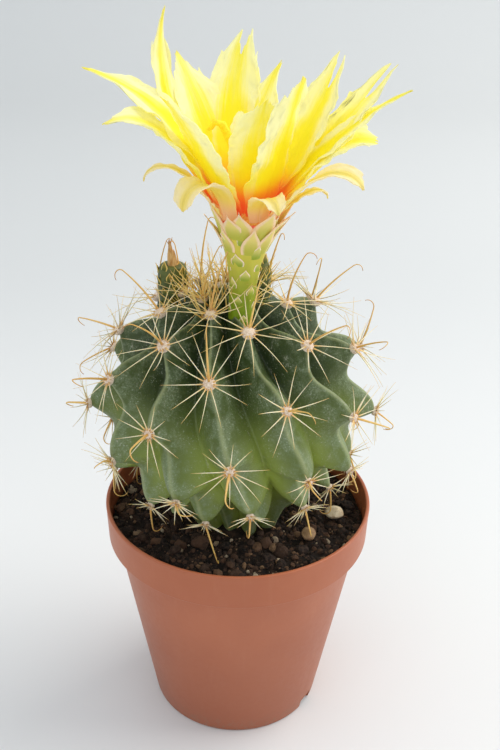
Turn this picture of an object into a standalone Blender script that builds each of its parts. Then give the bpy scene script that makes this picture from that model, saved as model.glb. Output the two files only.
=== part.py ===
"""A round, ribbed cactus in flower, standing in its small plastic nursery pot.

Units are metres, +Z is up, -Y is the front, and the origin is the centre of the pot's base.
Azimuths are in degrees from the front (-Y) towards the right (+X).
"""

import math

import bmesh
import bpy
from mathutils import Matrix, Vector

MM = 0.001
GAP = 0.3 * MM  # left between pieces that touch

# The pot: a thin, tapering wall with a collar band at the rim.
POT_HEIGHT = 49.5 * MM
RIM_RADIUS = 27.5 * MM
COLLAR_HEIGHT = 7.6 * MM
COLLAR_STEP = 0.8 * MM
BASE_RADIUS = 18.1 * MM
WALL = 1.0 * MM
FLOOR_THICKNESS = 1.2 * MM
POT_STEPS = 48
LIP = 0.3 * MM  # the cut on the edges of the rim and base
FOOT_BEVEL = 0.9 * MM
FOOT_TOP = 1.2 * MM
SLOT_AZIMUTHS = (58.0, 238.0)
SLOT_SIZE = (4.0 * MM, 5.0 * MM, 2.4 * MM)  # through the wall, along it, up it
FLOOR_HOLES = 4
FLOOR_HOLE_RADIUS = 1.8 * MM
FLOOR_HOLE_RING = 10.0 * MM
FLOOR_HOLE_TURN = 13.0
FLOOR_HOLE_STEPS = 12

# The compost, and the largest stones that lie on it.
SOIL_HEIGHT = 44.4 * MM
SOIL_CROWN = 0.8 * MM  # how much it rises to the middle
SOIL_FLAT_RADIUS = 13.0 * MM
SOIL_STEPS = 40
SOCKET_STEPS = 32
PEBBLES = {
    # name: x, y, half sizes along x, y and z
    "pebble_cream": (20.2, -2.4, 1.9, 1.5, 1.3),
    "pebble_tan": (14.4, -9.6, 1.4, 1.7, 1.1),
}

# The stem: a flattened globe that leans a little, drawn in to a neck in the compost.
STEM_CENTRE = Vector((-1.4, 3.5, 70.7)) * MM
STEM_LEAN_X = math.radians(-3.3)
STEM_LEAN_Y = math.radians(-4.0)
STEM_RADIUS = 28.7 * MM
STEM_UPPER = 23.5 * MM  # half height above the widest ring
STEM_LOWER = 24.5 * MM
NECK = (  # radius, height below the stem's centre
    (16.0 * MM, 20.2 * MM),
    (13.5 * MM, 22.6 * MM),
    (12.0 * MM, 25.4 * MM),
    (11.0 * MM, 28.2 * MM),
    (8.5 * MM, 31.0 * MM),
    (4.0 * MM, 32.6 * MM),
)

# Growth: the areoles stand on one spiral, numbered from the youngest at the crown.
RIBS = 13
RIB_STEP = 360.0 / RIBS
DIVERGENCE = 137.92
RIB_DRIFT = 5 * RIB_STEP - DIVERGENCE  # how far a rib turns from one areole's age to the next
FIRST_AZIMUTH = 231.2
POLAR_MIDDLE = 69.8
POLAR_SWING = 67.4
GROWTH_SPAN = 71.8
GROWTH_START = 10.5
LAST_AREOLE = 56
CROWN_AGE = -6.0
BASE_AGE = 60.5
STEM_ROWS = 27
COLUMNS_PER_RIB = 4
GROOVE_DEPTH = 7.6 * MM
SADDLE_DEPTH = 4.2 * MM
TUBERCLE_WARP = 0.65  # under 1, a tubercle slopes gently above its areole and steeply below

# The areoles: a felted pad, a star of straight spines and one hooked one.
CLUSTER_AGES = range(7, 39)
PAD_RADIUS = 1.3 * MM
PAD_HALF_HEIGHT = 0.6 * MM
RADIAL_COUNT = 7
RADIAL_LENGTH = 8.0 * MM
RADIAL_RISE = math.radians(27)
RADIAL_RING = 0.62 * MM
SPINE_RADIUS = 0.21 * MM
SPINE_TIP_RADIUS = 0.05 * MM
HOOK_REACH = 8.5 * MM
HOOK_LEAN = math.radians(28)
HOOK_BEND_RADIUS = 1.3 * MM
HOOK_TURN = math.radians(150)
HOOK_STEPS = 4
CROWN_PAD_RADIUS = 3.2 * MM
CROWN_PAD_HALF_HEIGHT = 1.0 * MM
CROWN_SPINES = 9
CROWN_SPINE_LENGTH = 8.0 * MM

# The flower: a scaly tube, a funnel of petals, stamens and a style.
TUBE_FOOT = Vector((-0.1, -1.5, 89.3)) * MM
TUBE_LEAN = math.radians(3.0)
TUBE_PROFILE = (  # radius, height above the foot, from the throat over the rim and down
    (0.0, 17.5),
    (1.7, 18.0),
    (1.8, 20.7),
    (4.9, 21.1),
    (5.3, 20.6),
    (5.1, 19.4),
    (4.3, 16.4),
    (3.05, 12.6),
    (2.55, 8.7),
    (2.3, 2.7),
    (2.3, 0.0),
    (0.0, 0.0),
)
TUBE_SEAT_RADIUS = 2.65 * MM
SEAT_CUT_HEIGHT = 12.0 * MM
FLOWER_STEPS = 24
MOUTH = Vector((1.0, -1.5, 111.0)) * MM
STAMEN_PROFILE = (  # radius, height above the tube's foot, as a closed loop
    (1.0, 18.4),
    (1.1, 23.0),
    (1.2, 29.0),
    (1.7, 29.0),
    (1.5, 23.0),
    (1.4, 18.4),
)
STYLE_PROFILE = (  # radius, height above the tube's foot
    (0.0, 33.6),
    (1.0, 33.4),
    (1.1, 32.4),
    (0.5, 30.6),
    (0.45, 18.1),
    (0.0, 18.1),
)
PETAL_THICKNESS = 0.3 * MM
PETAL_CELLS = 7
PETALS = {
    # azimuth, radius and height of the foot, length, lift at foot and tip, how late the
    # lift changes, width, sideways sweep and roll; millimetres and degrees
    "petal_01": (-118, 3.3, 1.1, 40, 43, 104, 1.5, 5.5, 0, 0),
    "petal_02": (-148, 3.2, 1.1, 30, 50, 66, 1.0, 8.5, 5, 0),
    "petal_03": (-98, 3.1, 0.9, 35, 66, 14, 1.1, 6.0, 0, 15),
    "petal_04": (-80, 4.3, 0.6, 29, 59, -42, 2.4, 7.5, 0, 10),
    "petal_05": (-50, 3.0, 1.1, 26, 70, 30, 3.0, 9.0, 0, 10),
    "petal_06": (-160, 2.2, 1.4, 32, 60, 80, 1.0, 7.5, -50, 0),
    "petal_07": (176, 3.3, 1.1, 28, 58, 57, 1.0, 5.5, -40, 0),
    "petal_08": (30, 3.2, 1.1, 27, 76, 60, 1.5, 9.0, 35, 0),
    "petal_09": (-8, 2.0, 1.4, 22, 87, 80, 1.5, 8.0, 0, 0),
    "petal_10": (119, 2.3, 1.4, 32, 57, 70, 1.0, 8.5, 0, -5),
    "petal_11": (102, 3.2, 0.9, 34, 58, 36, 1.0, 7.0, 0, -15),
    "petal_12": (76, 4.3, 0.6, 24, 56, -4, 2.0, 6.0, 0, -10),
    "outer_petal_01": (-92, 4.9, 0.3, 19, 48, -100, 3.5, 2.5, 0, 0),
    "outer_petal_02": (-36, 5.0, 0.3, 18, 80, -110, 1.6, 5.5, 0, 0),
    "outer_petal_03": (52, 5.0, 0.3, 24, 46, -75, 3.0, 4.5, 0, -10),
    "outer_petal_04": (18, 4.8, 0.3, 13, 84, -40, 1.8, 6.5, 0, 0),
}

# A ripening fruit with its dried flower, and a bud, both behind the flower.
FRUIT_CENTRE = Vector((-13.4, 8.0, 92.4)) * MM
FRUIT_RADIUS = 2.9 * MM
FRUIT_HALF_HEIGHT = 5.5 * MM
REMAINS_LENGTH = 5.0 * MM
REMAINS_RADIUS = 1.2 * MM
REMAINS_LEAN = math.radians(-14)
BUD_CENTRE = Vector((3.4, 6.0, 95.4)) * MM
BUD_RADIUS = 2.4 * MM
BUD_HALF_HEIGHT = 6.4 * MM


def clear_scene():
    for leftover in list(bpy.data.objects):
        bpy.data.objects.remove(leftover, do_unlink=True)


def new_collection(name):
    collection = bpy.data.collections.new(name)
    bpy.context.scene.collection.children.link(collection)
    return collection


def new_material(name, colour, roughness):
    material = bpy.data.materials.new(name)
    material.use_nodes = True
    shader = material.node_tree.nodes["Principled BSDF"]
    shader.inputs["Base Color"].default_value = (*colour, 1.0)
    shader.inputs["Roughness"].default_value = roughness
    shader.inputs["Metallic"].default_value = 0.0
    return material


def new_object(name, mesh, collection, material=None):
    made = bpy.data.objects.new(name, mesh)
    collection.objects.link(made)
    if material:
        mesh.materials.clear()
        mesh.materials.append(material)
    mesh.shade_smooth()
    mesh.set_sharp_from_angle(angle=math.radians(40))
    return made


def mesh_from(name, shape):
    mesh = bpy.data.meshes.new(name)
    bmesh.ops.recalc_face_normals(shape, faces=shape.faces)
    shape.to_mesh(mesh)
    shape.free()
    return mesh


def heading(azimuth):
    """The level unit vector at an azimuth in degrees."""
    angle = math.radians(azimuth)
    return Vector((math.sin(angle), -math.cos(angle), 0.0))


def turned(name, outline, steps, collection, material, closed=False):
    """A shape turned round Z from radius and height pairs that end up running down its outer side."""
    mesh = bpy.data.meshes.new(name)
    ends = len(outline) if closed else len(outline) - 1
    edges = [(i, (i + 1) % len(outline)) for i in range(ends)]
    mesh.from_pydata([(radius, 0.0, height) for radius, height in outline], edges, [])
    made = new_object(name, mesh, collection, material)
    screw = made.modifiers.new("turn", "SCREW")
    screw.angle = 2 * math.pi
    screw.steps = steps
    screw.render_steps = steps
    screw.use_merge_vertices = True
    screw.merge_threshold = 0.00001
    screw.use_smooth_shade = True
    return made


def cut(target, cutter):
    cutter.hide_render = True
    cutter.display_type = "WIRE"
    difference = target.modifiers.new(cutter.name, "BOOLEAN")
    difference.operation = "DIFFERENCE"
    difference.solver = "EXACT"
    difference.object = cutter


def egg(name, radius, half_height, collection, material=None, rings=10):
    shape = bmesh.new()
    bmesh.ops.create_uvsphere(shape, u_segments=14, v_segments=rings, radius=1.0)
    bmesh.ops.scale(shape, vec=(radius, radius, half_height), verts=shape.verts)
    return new_object(name, mesh_from(name, shape), collection, material)


# The pot and what fills it


def wall_radius(height):
    """The outer radius of the tapering wall, extended up inside the collar."""
    taper = (RIM_RADIUS - COLLAR_STEP - BASE_RADIUS) / POT_HEIGHT
    return BASE_RADIUS + taper * height


def make_pot(collection, cutters, material):
    collar_foot = POT_HEIGHT - COLLAR_HEIGHT
    inside = [(0.0, FLOOR_THICKNESS), (wall_radius(FLOOR_THICKNESS) - WALL, FLOOR_THICKNESS)]
    inside += [(wall_radius(POT_HEIGHT) - WALL, POT_HEIGHT - LIP)]
    inside += [(wall_radius(POT_HEIGHT) - WALL + LIP, POT_HEIGHT)]
    outside = [
        (RIM_RADIUS - LIP, POT_HEIGHT),
        (RIM_RADIUS, POT_HEIGHT - LIP),
        (wall_radius(collar_foot) + COLLAR_STEP, collar_foot + LIP),
        (wall_radius(collar_foot), collar_foot),
        (wall_radius(FOOT_TOP), FOOT_TOP),
        (BASE_RADIUS - LIP, LIP),
        (BASE_RADIUS - FOOT_BEVEL, 0.0),
        (0.0, 0.0),
    ]
    pot = turned("pot", inside + outside, POT_STEPS, collection, material)
    for index, azimuth in enumerate(SLOT_AZIMUTHS):
        shape = bmesh.new()
        bmesh.ops.create_cube(shape, size=1.0)
        bmesh.ops.scale(shape, vec=SLOT_SIZE, verts=shape.verts)
        slot = new_object(f"drain_slot_{index}", mesh_from("drain_slot", shape), cutters)
        slot.location = heading(azimuth) * BASE_RADIUS + Vector((0, 0, SLOT_SIZE[2] * 0.35))
        slot.rotation_euler.z = math.radians(azimuth - 90)
        cut(pot, slot)
    for index in range(FLOOR_HOLES):
        shape = bmesh.new()
        bmesh.ops.create_cone(
            shape, cap_ends=True, segments=FLOOR_HOLE_STEPS, radius1=FLOOR_HOLE_RADIUS,
            radius2=FLOOR_HOLE_RADIUS, depth=4 * FLOOR_THICKNESS,
        )
        hole = new_object(f"floor_hole_{index}", mesh_from("floor_hole", shape), cutters)
        hole.location = heading(index * 360 / FLOOR_HOLES + FLOOR_HOLE_TURN) * FLOOR_HOLE_RING
        cut(pot, hole)


def place_on_stem_axis(made):
    made.location = STEM_CENTRE
    made.rotation_euler = (STEM_LEAN_X, STEM_LEAN_Y, 0.0)


def make_soil(collection, cutters, material):
    bottom = FLOOR_THICKNESS + GAP
    side = WALL + GAP
    outline = [
        (0.0, SOIL_HEIGHT + SOIL_CROWN),
        (SOIL_FLAT_RADIUS, SOIL_HEIGHT + SOIL_CROWN),
        (wall_radius(SOIL_HEIGHT) - side, SOIL_HEIGHT),
        (wall_radius(bottom) - side, bottom),
        (0.0, bottom),
    ]
    soil = turned("soil", outline, SOIL_STEPS, collection, material)
    socket_outline = [(0.0, -NECK[0][1])]
    socket_outline += [(radius + GAP, -drop) for radius, drop in NECK]
    socket_outline += [(NECK[-1][0] + GAP, -NECK[-1][1] - GAP), (0.0, -NECK[-1][1] - GAP)]
    socket = turned("stem_socket", socket_outline, SOCKET_STEPS, cutters, None)
    place_on_stem_axis(socket)
    cut(soil, socket)


def make_pebbles(collection, material):
    for name, (x, y, half_x, half_y, half_z) in PEBBLES.items():
        shape = bmesh.new()
        bmesh.ops.create_icosphere(shape, subdivisions=2, radius=1.0)
        for vertex in shape.verts:
            vertex.co *= 1.0 - 0.12 * math.sin(3.0 * vertex.co.x + x) * math.cos(2.5 * vertex.co.y)
        bmesh.ops.scale(shape, vec=Vector((half_x, half_y, half_z)) * MM, verts=shape.verts)
        pebble = new_object(name, mesh_from(name, shape), collection, material)
        pebble.location = (x * MM, y * MM, SOIL_HEIGHT + SOIL_CROWN + GAP + half_z * MM)


# The stem


def polar_at(age):
    """The angle from the stem's top, in radians, at which an areole of this age stands."""
    turn = math.pi * (age + GROWTH_START) / GROWTH_SPAN
    return math.radians(POLAR_MIDDLE - POLAR_SWING * math.cos(turn))


def stem_lean():
    return Matrix.Rotation(STEM_LEAN_Y, 3, "Y") @ Matrix.Rotation(STEM_LEAN_X, 3, "X")


def envelope(polar, azimuth):
    """A point on the globe through the tubercles' tips, and the outward normal there, unleaned."""
    out = heading(azimuth)
    half_height = STEM_UPPER if polar < math.pi / 2 else STEM_LOWER
    point = out * (STEM_RADIUS * math.sin(polar))
    point.z = half_height * math.cos(polar)
    normal = out * (math.sin(polar) / STEM_RADIUS)
    normal.z = math.cos(polar) / half_height
    return point, normal.normalized()


def relief_scale(polar):
    """Tubercles are low at the crown, full at the shoulder and lower again at the base."""
    young = min(1.0, math.sin(polar) / 0.75) ** 0.8
    if polar < math.pi / 2:
        return young
    return 1.0 - 0.45 * min(1.0, (math.degrees(polar) - 90) / 45)


def tubercle_height(age, rib):
    """1 at an areole of this rib, falling to 0 in the saddle below it."""
    along = ((age - 5 * rib) / RIBS) % 1.0
    return 0.5 + 0.5 * math.cos(2 * math.pi * along**TUBERCLE_WARP)


def sink(age, polar, rib, across):
    """How deep the skin lies below the tips; across runs from 0 on a rib to 1 in the groove."""
    saddle = SADDLE_DEPTH * (1.0 - tubercle_height(age, rib))
    flank = 0.55 * across + 0.45 * (0.5 - 0.5 * math.cos(math.pi * across))
    return relief_scale(polar) * (saddle * (1.0 - flank) + GROOVE_DEPTH * flank)


def nearest_areole(age, rib, row_step):
    """A row's age, moved onto the rib's areole when that lies within half a row of it."""
    first = (5 * rib) % RIBS
    areole = first + RIBS * round((age - first) / RIBS)
    return areole if abs(areole - age) <= row_step / 2 and areole <= LAST_AREOLE else age


def stem_ring(age, row_step):
    ring = []
    for column in range(RIBS * COLUMNS_PER_RIB):
        rib = round(column / COLUMNS_PER_RIB) % RIBS
        across = 2 * abs(column / COLUMNS_PER_RIB - round(column / COLUMNS_PER_RIB))
        own_age = nearest_areole(age, rib, row_step) if across == 0 else age
        polar = polar_at(own_age)
        azimuth = FIRST_AZIMUTH + RIB_DRIFT * own_age + RIB_STEP * column / COLUMNS_PER_RIB
        point, normal = envelope(polar, azimuth)
        ring.append(point - normal * sink(own_age, polar, rib, across))
    return ring


def loft(rings, top, bottom):
    """One closed skin over rings of equal length, from a top point to a bottom point."""
    shape = bmesh.new()
    rows = [[shape.verts.new(point) for point in ring] for ring in rings]
    for upper, lower in zip(rows, rows[1:]):
        for i in range(len(upper)):
            j = (i + 1) % len(upper)
            shape.faces.new((upper[i], lower[i], lower[j], upper[j]))
    for row, pole in ((rows[0], top), (rows[-1], bottom)):
        tip = shape.verts.new(pole)
        for i in range(len(row)):
            shape.faces.new((tip, row[i], row[(i + 1) % len(row)]))
    return shape


def make_stem(collection, cutters, material):
    row_step = (BASE_AGE - CROWN_AGE) / (STEM_ROWS - 1)
    rings = [stem_ring(CROWN_AGE + row * row_step, row_step) for row in range(STEM_ROWS)]
    columns = RIBS * COLUMNS_PER_RIB
    drift = FIRST_AZIMUTH + RIB_DRIFT * BASE_AGE
    for radius, drop in NECK:
        ring = [heading(drift + 360 * i / columns) * radius for i in range(columns)]
        rings.append([point - Vector((0, 0, drop)) for point in ring])
    top = Vector((0, 0, STEM_UPPER - 1.2 * MM))
    bottom = Vector((0, 0, -NECK[-1][1]))
    stem = new_object("stem", mesh_from("stem", loft(rings, top, bottom)), collection, material)
    place_on_stem_axis(stem)

    seat = turned(
        "flower_seat",
        [(0.0, SEAT_CUT_HEIGHT), (TUBE_SEAT_RADIUS, SEAT_CUT_HEIGHT), (TUBE_SEAT_RADIUS, -GAP), (0.0, -GAP)],
        FLOWER_STEPS, cutters, None,
    )
    seat.location = TUBE_FOOT
    seat.rotation_euler.y = TUBE_LEAN
    cut(stem, seat)
    for name, centre, radius, half_height in (
        ("fruit_seat", FRUIT_CENTRE, FRUIT_RADIUS, FRUIT_HALF_HEIGHT),
        ("bud_seat", BUD_CENTRE, BUD_RADIUS, BUD_HALF_HEIGHT),
    ):
        hollow = egg(name, radius + GAP, half_height + GAP, cutters)
        hollow.location = centre
        cut(stem, hollow)


# The areoles and their spines


def areole_frame(age):
    """Where an areole stands: its axes are right, towards the crown, and outwards."""
    polar = polar_at(age)
    point, normal = envelope(polar, FIRST_AZIMUTH - DIVERGENCE * age)
    lean = stem_lean()
    outward = lean @ normal
    right = Vector((0, 0, 1)).cross(outward).normalized()
    upward = outward.cross(right)
    axes = Matrix((right, upward, outward)).transposed()
    return STEM_CENTRE + lean @ point, axes


def areole_size(age):
    """Spines are still growing near the crown, and short on the oldest tubercles."""
    return 0.82 + 0.18 * math.sin(math.pi * min(1.0, (age - 4) / 34))


def add_spine(shape, foot, direction, length, radius):
    """A three-sided tapering spine."""
    turn = direction.to_track_quat("Z", "Y").to_matrix().to_4x4()
    bmesh.ops.create_cone(
        shape, cap_ends=True, segments=3, radius1=radius, radius2=SPINE_TIP_RADIUS,
        depth=length, matrix=Matrix.Translation(foot + direction * (length / 2)) @ turn,
    )


def hook_points():
    """Out along the lean, then round the bend and back towards the stem."""
    out = Vector((0, math.sin(HOOK_LEAN), math.cos(HOOK_LEAN)))
    down = Vector((0, -math.cos(HOOK_LEAN), math.sin(HOOK_LEAN)))
    points = [Vector(), out * HOOK_REACH]
    centre = out * HOOK_REACH + down * HOOK_BEND_RADIUS
    for step in range(1, HOOK_STEPS + 1):
        angle = HOOK_TURN * step / HOOK_STEPS
        offset = out * math.sin(angle) - down * math.cos(angle)
        points.append(centre + offset * HOOK_BEND_RADIUS)
    return points


def wire_mesh(name, points, radius, collection):
    """A thin rod along the points, as a mesh with its end caps welded on."""
    curve = bpy.data.curves.new(name, "CURVE")
    curve.dimensions = "3D"
    curve.bevel_depth = radius
    curve.bevel_resolution = 0
    curve.use_fill_caps = True
    spline = curve.splines.new("POLY")
    spline.points.add(len(points) - 1)
    for index, point in enumerate(points):
        spline.points[index].co = (*point, 1.0)
        spline.points[index].radius = 1.0 - 0.65 * index / (len(points) - 1)
    rod = bpy.data.objects.new(name, curve)
    collection.objects.link(rod)
    shape = bmesh.new()
    graph = bpy.context.evaluated_depsgraph_get()
    mesh = bpy.data.meshes.new_from_object(rod.evaluated_get(graph))
    shape.from_mesh(mesh)
    bmesh.ops.remove_doubles(shape, verts=shape.verts, dist=0.000001)
    bpy.data.objects.remove(rod, do_unlink=True)
    return shape


def united(name, base, addition):
    """The mesh of two shapes joined by a Boolean union."""
    collection = bpy.context.scene.collection
    whole = new_object(name, mesh_from(name, base), collection)
    other = new_object(f"{name}_addition", mesh_from(name, addition), collection)
    union = whole.modifiers.new("union", "BOOLEAN")
    union.operation = "UNION"
    union.solver = "EXACT"
    union.object = other
    graph = bpy.context.evaluated_depsgraph_get()
    mesh = bpy.data.meshes.new_from_object(whole.evaluated_get(graph))
    bpy.data.objects.remove(whole, do_unlink=True)
    bpy.data.objects.remove(other, do_unlink=True)
    return mesh


def pad_shape(radius, half_height, segments):
    shape = bmesh.new()
    bmesh.ops.create_uvsphere(shape, u_segments=segments, v_segments=4, radius=1.0)
    bmesh.ops.scale(shape, vec=(radius, radius, half_height), verts=shape.verts)
    return shape


def cluster_mesh():
    """The pad, its ring of radial spines and the hooked one, with outwards as +Z."""
    spines = wire_mesh("hooked_spine", hook_points(), 1.25 * SPINE_RADIUS, bpy.context.scene.collection)
    for index in range(RADIAL_COUNT):
        angle = 2 * math.pi * (index + 0.5) / RADIAL_COUNT
        level = Vector((math.sin(angle), math.cos(angle), 0))
        direction = level * math.cos(RADIAL_RISE) + Vector((0, 0, math.sin(RADIAL_RISE)))
        add_spine(spines, level * RADIAL_RING, direction, RADIAL_LENGTH, SPINE_RADIUS)
    return united("spine_cluster", pad_shape(PAD_RADIUS, PAD_HALF_HEIGHT, 8), spines)


def make_clusters(collection, material):
    mesh = cluster_mesh()
    for age in CLUSTER_AGES:
        tip, axes = areole_frame(age)
        cluster = new_object(f"spine_cluster_{age:02d}", mesh, collection, material)
        size = areole_size(age)
        roll = Matrix.Rotation(math.radians(25) * math.sin(2.4 * age), 3, "Z")
        place = (axes @ roll).to_4x4()
        place.translation = tip + axes.col[2] * (GAP + PAD_HALF_HEIGHT * size)
        cluster.matrix_world = place @ Matrix.Scale(size, 4)


def make_crown(collection, material):
    """The felt of the growing tip with its upright young spines."""
    spines = bmesh.new()
    for index in range(CROWN_SPINES):
        outer = index % 2
        out = heading(360 * index / CROWN_SPINES + 20)
        tilt = math.radians(16 + 18 * outer)
        direction = out * math.sin(tilt) + Vector((0, 0, math.cos(tilt)))
        add_spine(spines, out * (1.0 + 1.1 * outer) * MM, direction, CROWN_SPINE_LENGTH, SPINE_RADIUS)
    pad = pad_shape(CROWN_PAD_RADIUS, CROWN_PAD_HALF_HEIGHT, 12)
    crown = new_object("crown_spines", united("crown_spines", pad, spines), collection, material)
    top = Vector((0, 0, STEM_UPPER + GAP + CROWN_PAD_HALF_HEIGHT - 0.4 * MM))
    crown.matrix_world = Matrix.Translation(STEM_CENTRE + stem_lean() @ top) @ stem_lean().to_4x4()


# The flower


def scaled(profile):
    return [(radius * MM, height * MM) for radius, height in profile]


def make_flower_heart(collection, materials):
    tube = turned("flower_tube", scaled(TUBE_PROFILE), FLOWER_STEPS, collection, materials["tube"])
    stamens = turned(
        "stamens", scaled(STAMEN_PROFILE), 16, collection, materials["stamens"], closed=True
    )
    style = turned("style", scaled(STYLE_PROFILE), 12, collection, materials["stamens"])
    for piece in (tube, stamens, style):
        piece.location = TUBE_FOOT
        piece.rotation_euler.y = TUBE_LEAN


def petal_width(share):
    """The share of its full width that a petal has at a share of its length."""
    opening = 0.2 + 0.8 * math.sin(math.pi / 2 * min(1.0, share / 0.5))
    narrowing = 1.0 - max(0.0, (share - 0.5) / 0.5) ** 2
    return opening * max(0.05, narrowing)


def petal_shape(azimuth, foot_radius, foot_height, length, lift, tip_lift, late, width, sweep, roll):
    """A flat strip bent along its length, three points across."""
    shape = bmesh.new()
    point = MOUTH + heading(azimuth) * (foot_radius * MM) + Vector((0, 0, foot_height * MM))
    step = length * MM / PETAL_CELLS
    rows = []
    for cell in range(PETAL_CELLS + 1):
        share = cell / PETAL_CELLS
        rise = math.radians(lift + (tip_lift - lift) * share**late)
        turn = azimuth + sweep * share
        along = heading(turn) * math.cos(rise) + Vector((0, 0, math.sin(rise)))
        side = heading(turn + 90)
        outside = side.cross(along)
        twist = math.radians(roll) * min(1.0, share / 0.4)
        side = side * math.cos(twist) + outside * math.sin(twist)
        half = side * (width * MM * petal_width(share) / 2)
        cup = outside * (0.12 * half.length)
        rows.append([shape.verts.new(p) for p in (point - half, point + cup, point + half)])
        middle = math.radians(lift + (tip_lift - lift) * ((cell + 0.5) / PETAL_CELLS) ** late)
        point = point + (heading(turn) * math.cos(middle) + Vector((0, 0, math.sin(middle)))) * step
    for lower, upper in zip(rows, rows[1:]):
        for i in range(2):
            shape.faces.new((lower[i], lower[i + 1], upper[i + 1], upper[i]))
    return shape


def make_petals(collection, materials):
    for name, sizes in PETALS.items():
        finish = materials["outer_petals" if name.startswith("outer") else "petals"]
        petal = new_object(name, mesh_from(name, petal_shape(*sizes)), collection, finish)
        sheet = petal.modifiers.new("thickness", "SOLIDIFY")
        sheet.thickness = PETAL_THICKNESS
        sheet.offset = 0.0


def make_fruit_and_bud(collection, materials):
    fruit = egg("fruit", FRUIT_RADIUS, FRUIT_HALF_HEIGHT, collection, materials["fruit"])
    fruit.location = FRUIT_CENTRE
    bud = egg("bud", BUD_RADIUS, BUD_HALF_HEIGHT, collection, materials["fruit"])
    bud.location = BUD_CENTRE
    shape = bmesh.new()
    bmesh.ops.create_cone(
        shape, cap_ends=True, segments=8, radius1=REMAINS_RADIUS, radius2=0.2 * MM,
        depth=REMAINS_LENGTH, matrix=Matrix.Translation((0, 0, REMAINS_LENGTH / 2)),
    )
    remains = new_object(
        "fruit_dried_flower", mesh_from("remains", shape), collection, materials["remains"]
    )
    lift = FRUIT_HALF_HEIGHT + 2 * GAP
    remains.location = FRUIT_CENTRE + Vector((0, 0, lift))
    remains.rotation_euler.y = REMAINS_LEAN


def main():
    clear_scene()
    parts = new_collection("potted_round_cactus")
    cutters = new_collection("cutters")
    materials = {
        "pot": new_material("terracotta_plastic", (0.43, 0.16, 0.09), 0.55),
        "soil": new_material("peat_compost", (0.03, 0.018, 0.012), 0.95),
        "stone": new_material("grit", (0.55, 0.45, 0.3), 0.8),
        "skin": new_material("cactus_skin", (0.07, 0.16, 0.06), 0.5),
        "spines": new_material("straw_spines", (0.75, 0.55, 0.28), 0.45),
        "tube": new_material("flower_tube", (0.3, 0.42, 0.06), 0.5),
        "petals": new_material("yellow_petals", (0.95, 0.8, 0.12), 0.5),
        "outer_petals": new_material("cream_outer_petals", (0.85, 0.75, 0.3), 0.5),
        "stamens": new_material("pollen_yellow", (0.9, 0.65, 0.05), 0.7),
        "fruit": new_material("young_fruit", (0.06, 0.14, 0.04), 0.45),
        "remains": new_material("dried_flower", (0.5, 0.26, 0.08), 0.8),
    }
    make_pot(parts, cutters, materials["pot"])
    make_soil(parts, cutters, materials["soil"])
    make_pebbles(parts, materials["stone"])
    make_stem(parts, cutters, materials["skin"])
    make_clusters(parts, materials["spines"])
    make_crown(parts, materials["spines"])
    make_flower_heart(parts, materials)
    make_petals(parts, materials)
    make_fruit_and_bud(parts, materials)


main()
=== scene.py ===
"""A young hooked-spine cactus with one open flower, in a small tapered plastic pot of gritty compost."""

import math
import random

import bmesh
import bpy
from mathutils import Matrix, Vector


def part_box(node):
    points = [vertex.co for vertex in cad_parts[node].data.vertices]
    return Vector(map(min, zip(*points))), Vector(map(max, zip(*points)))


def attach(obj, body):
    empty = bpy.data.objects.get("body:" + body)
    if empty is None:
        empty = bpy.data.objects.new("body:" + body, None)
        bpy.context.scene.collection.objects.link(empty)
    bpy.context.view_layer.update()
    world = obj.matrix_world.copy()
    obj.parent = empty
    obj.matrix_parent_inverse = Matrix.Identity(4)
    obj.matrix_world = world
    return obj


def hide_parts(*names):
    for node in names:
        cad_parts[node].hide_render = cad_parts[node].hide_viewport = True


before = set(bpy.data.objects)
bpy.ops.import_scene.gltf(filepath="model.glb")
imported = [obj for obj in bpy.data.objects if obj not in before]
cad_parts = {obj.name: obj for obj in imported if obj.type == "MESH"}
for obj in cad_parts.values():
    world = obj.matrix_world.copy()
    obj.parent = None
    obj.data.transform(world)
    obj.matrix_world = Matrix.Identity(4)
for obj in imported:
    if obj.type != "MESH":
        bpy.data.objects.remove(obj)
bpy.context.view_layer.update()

MM = 0.001
UP = Vector((0, 0, 1))

# The pot
POT_HEIGHT = 49.5 * MM
RIM_RADIUS = 27.5 * MM
COLLAR_HEIGHT = 7.6 * MM
COLLAR_STEP = 0.75 * MM
BASE_RADIUS = 18.1 * MM
WALL = 0.8 * MM
INNER_RIM = 26.7 * MM
FLOOR_THICKNESS = 1.2 * MM
NOTCH_AZIMUTHS = (58, 238)
NOTCH_SIZE = (4 * MM, 5 * MM, 2.4 * MM)
DRAIN_RING = 10 * MM
DRAIN_RADIUS = 1.8 * MM
SOIL_HEIGHT = 44.4 * MM
SOIL_SHOULDER = 38 * MM
SOIL_FOOT = 1.6 * MM
SOIL_RADIUS = INNER_RIM - 0.55 * MM

# The stem and its spiral of areoles
STEM_CENTRE = Vector((-1.4, 3.5, 70.7)) * MM
STEM_TURNS = (("X", -3.3), ("Y", -4.0))
STEM_LEAN = Matrix.Identity(3)
for axis_name, angle in STEM_TURNS:
    STEM_LEAN = Matrix.Rotation(math.radians(angle), 3, axis_name) @ STEM_LEAN
STEM_RADIUS = 28.7 * MM
STEM_UPPER = 23.5 * MM
STEM_LOWER = 24.5 * MM
RIBS = 13
RIB_STEP = 360 / RIBS
DIVERGENCE = 137.92
RIB_DRIFT = 5 * RIB_STEP - DIVERGENCE
FIRST_AZIMUTH = 231.2
POLAR_MIDDLE = 69.8
POLAR_SWING = 67.4
POLAR_SPAN = 71.8
POLAR_START = 10.5
CROWN_AGE = -10.5
BASE_AGE = 60.5
LAST_AREOLE = 56
NODE_AREOLES = range(7, 39)

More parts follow.
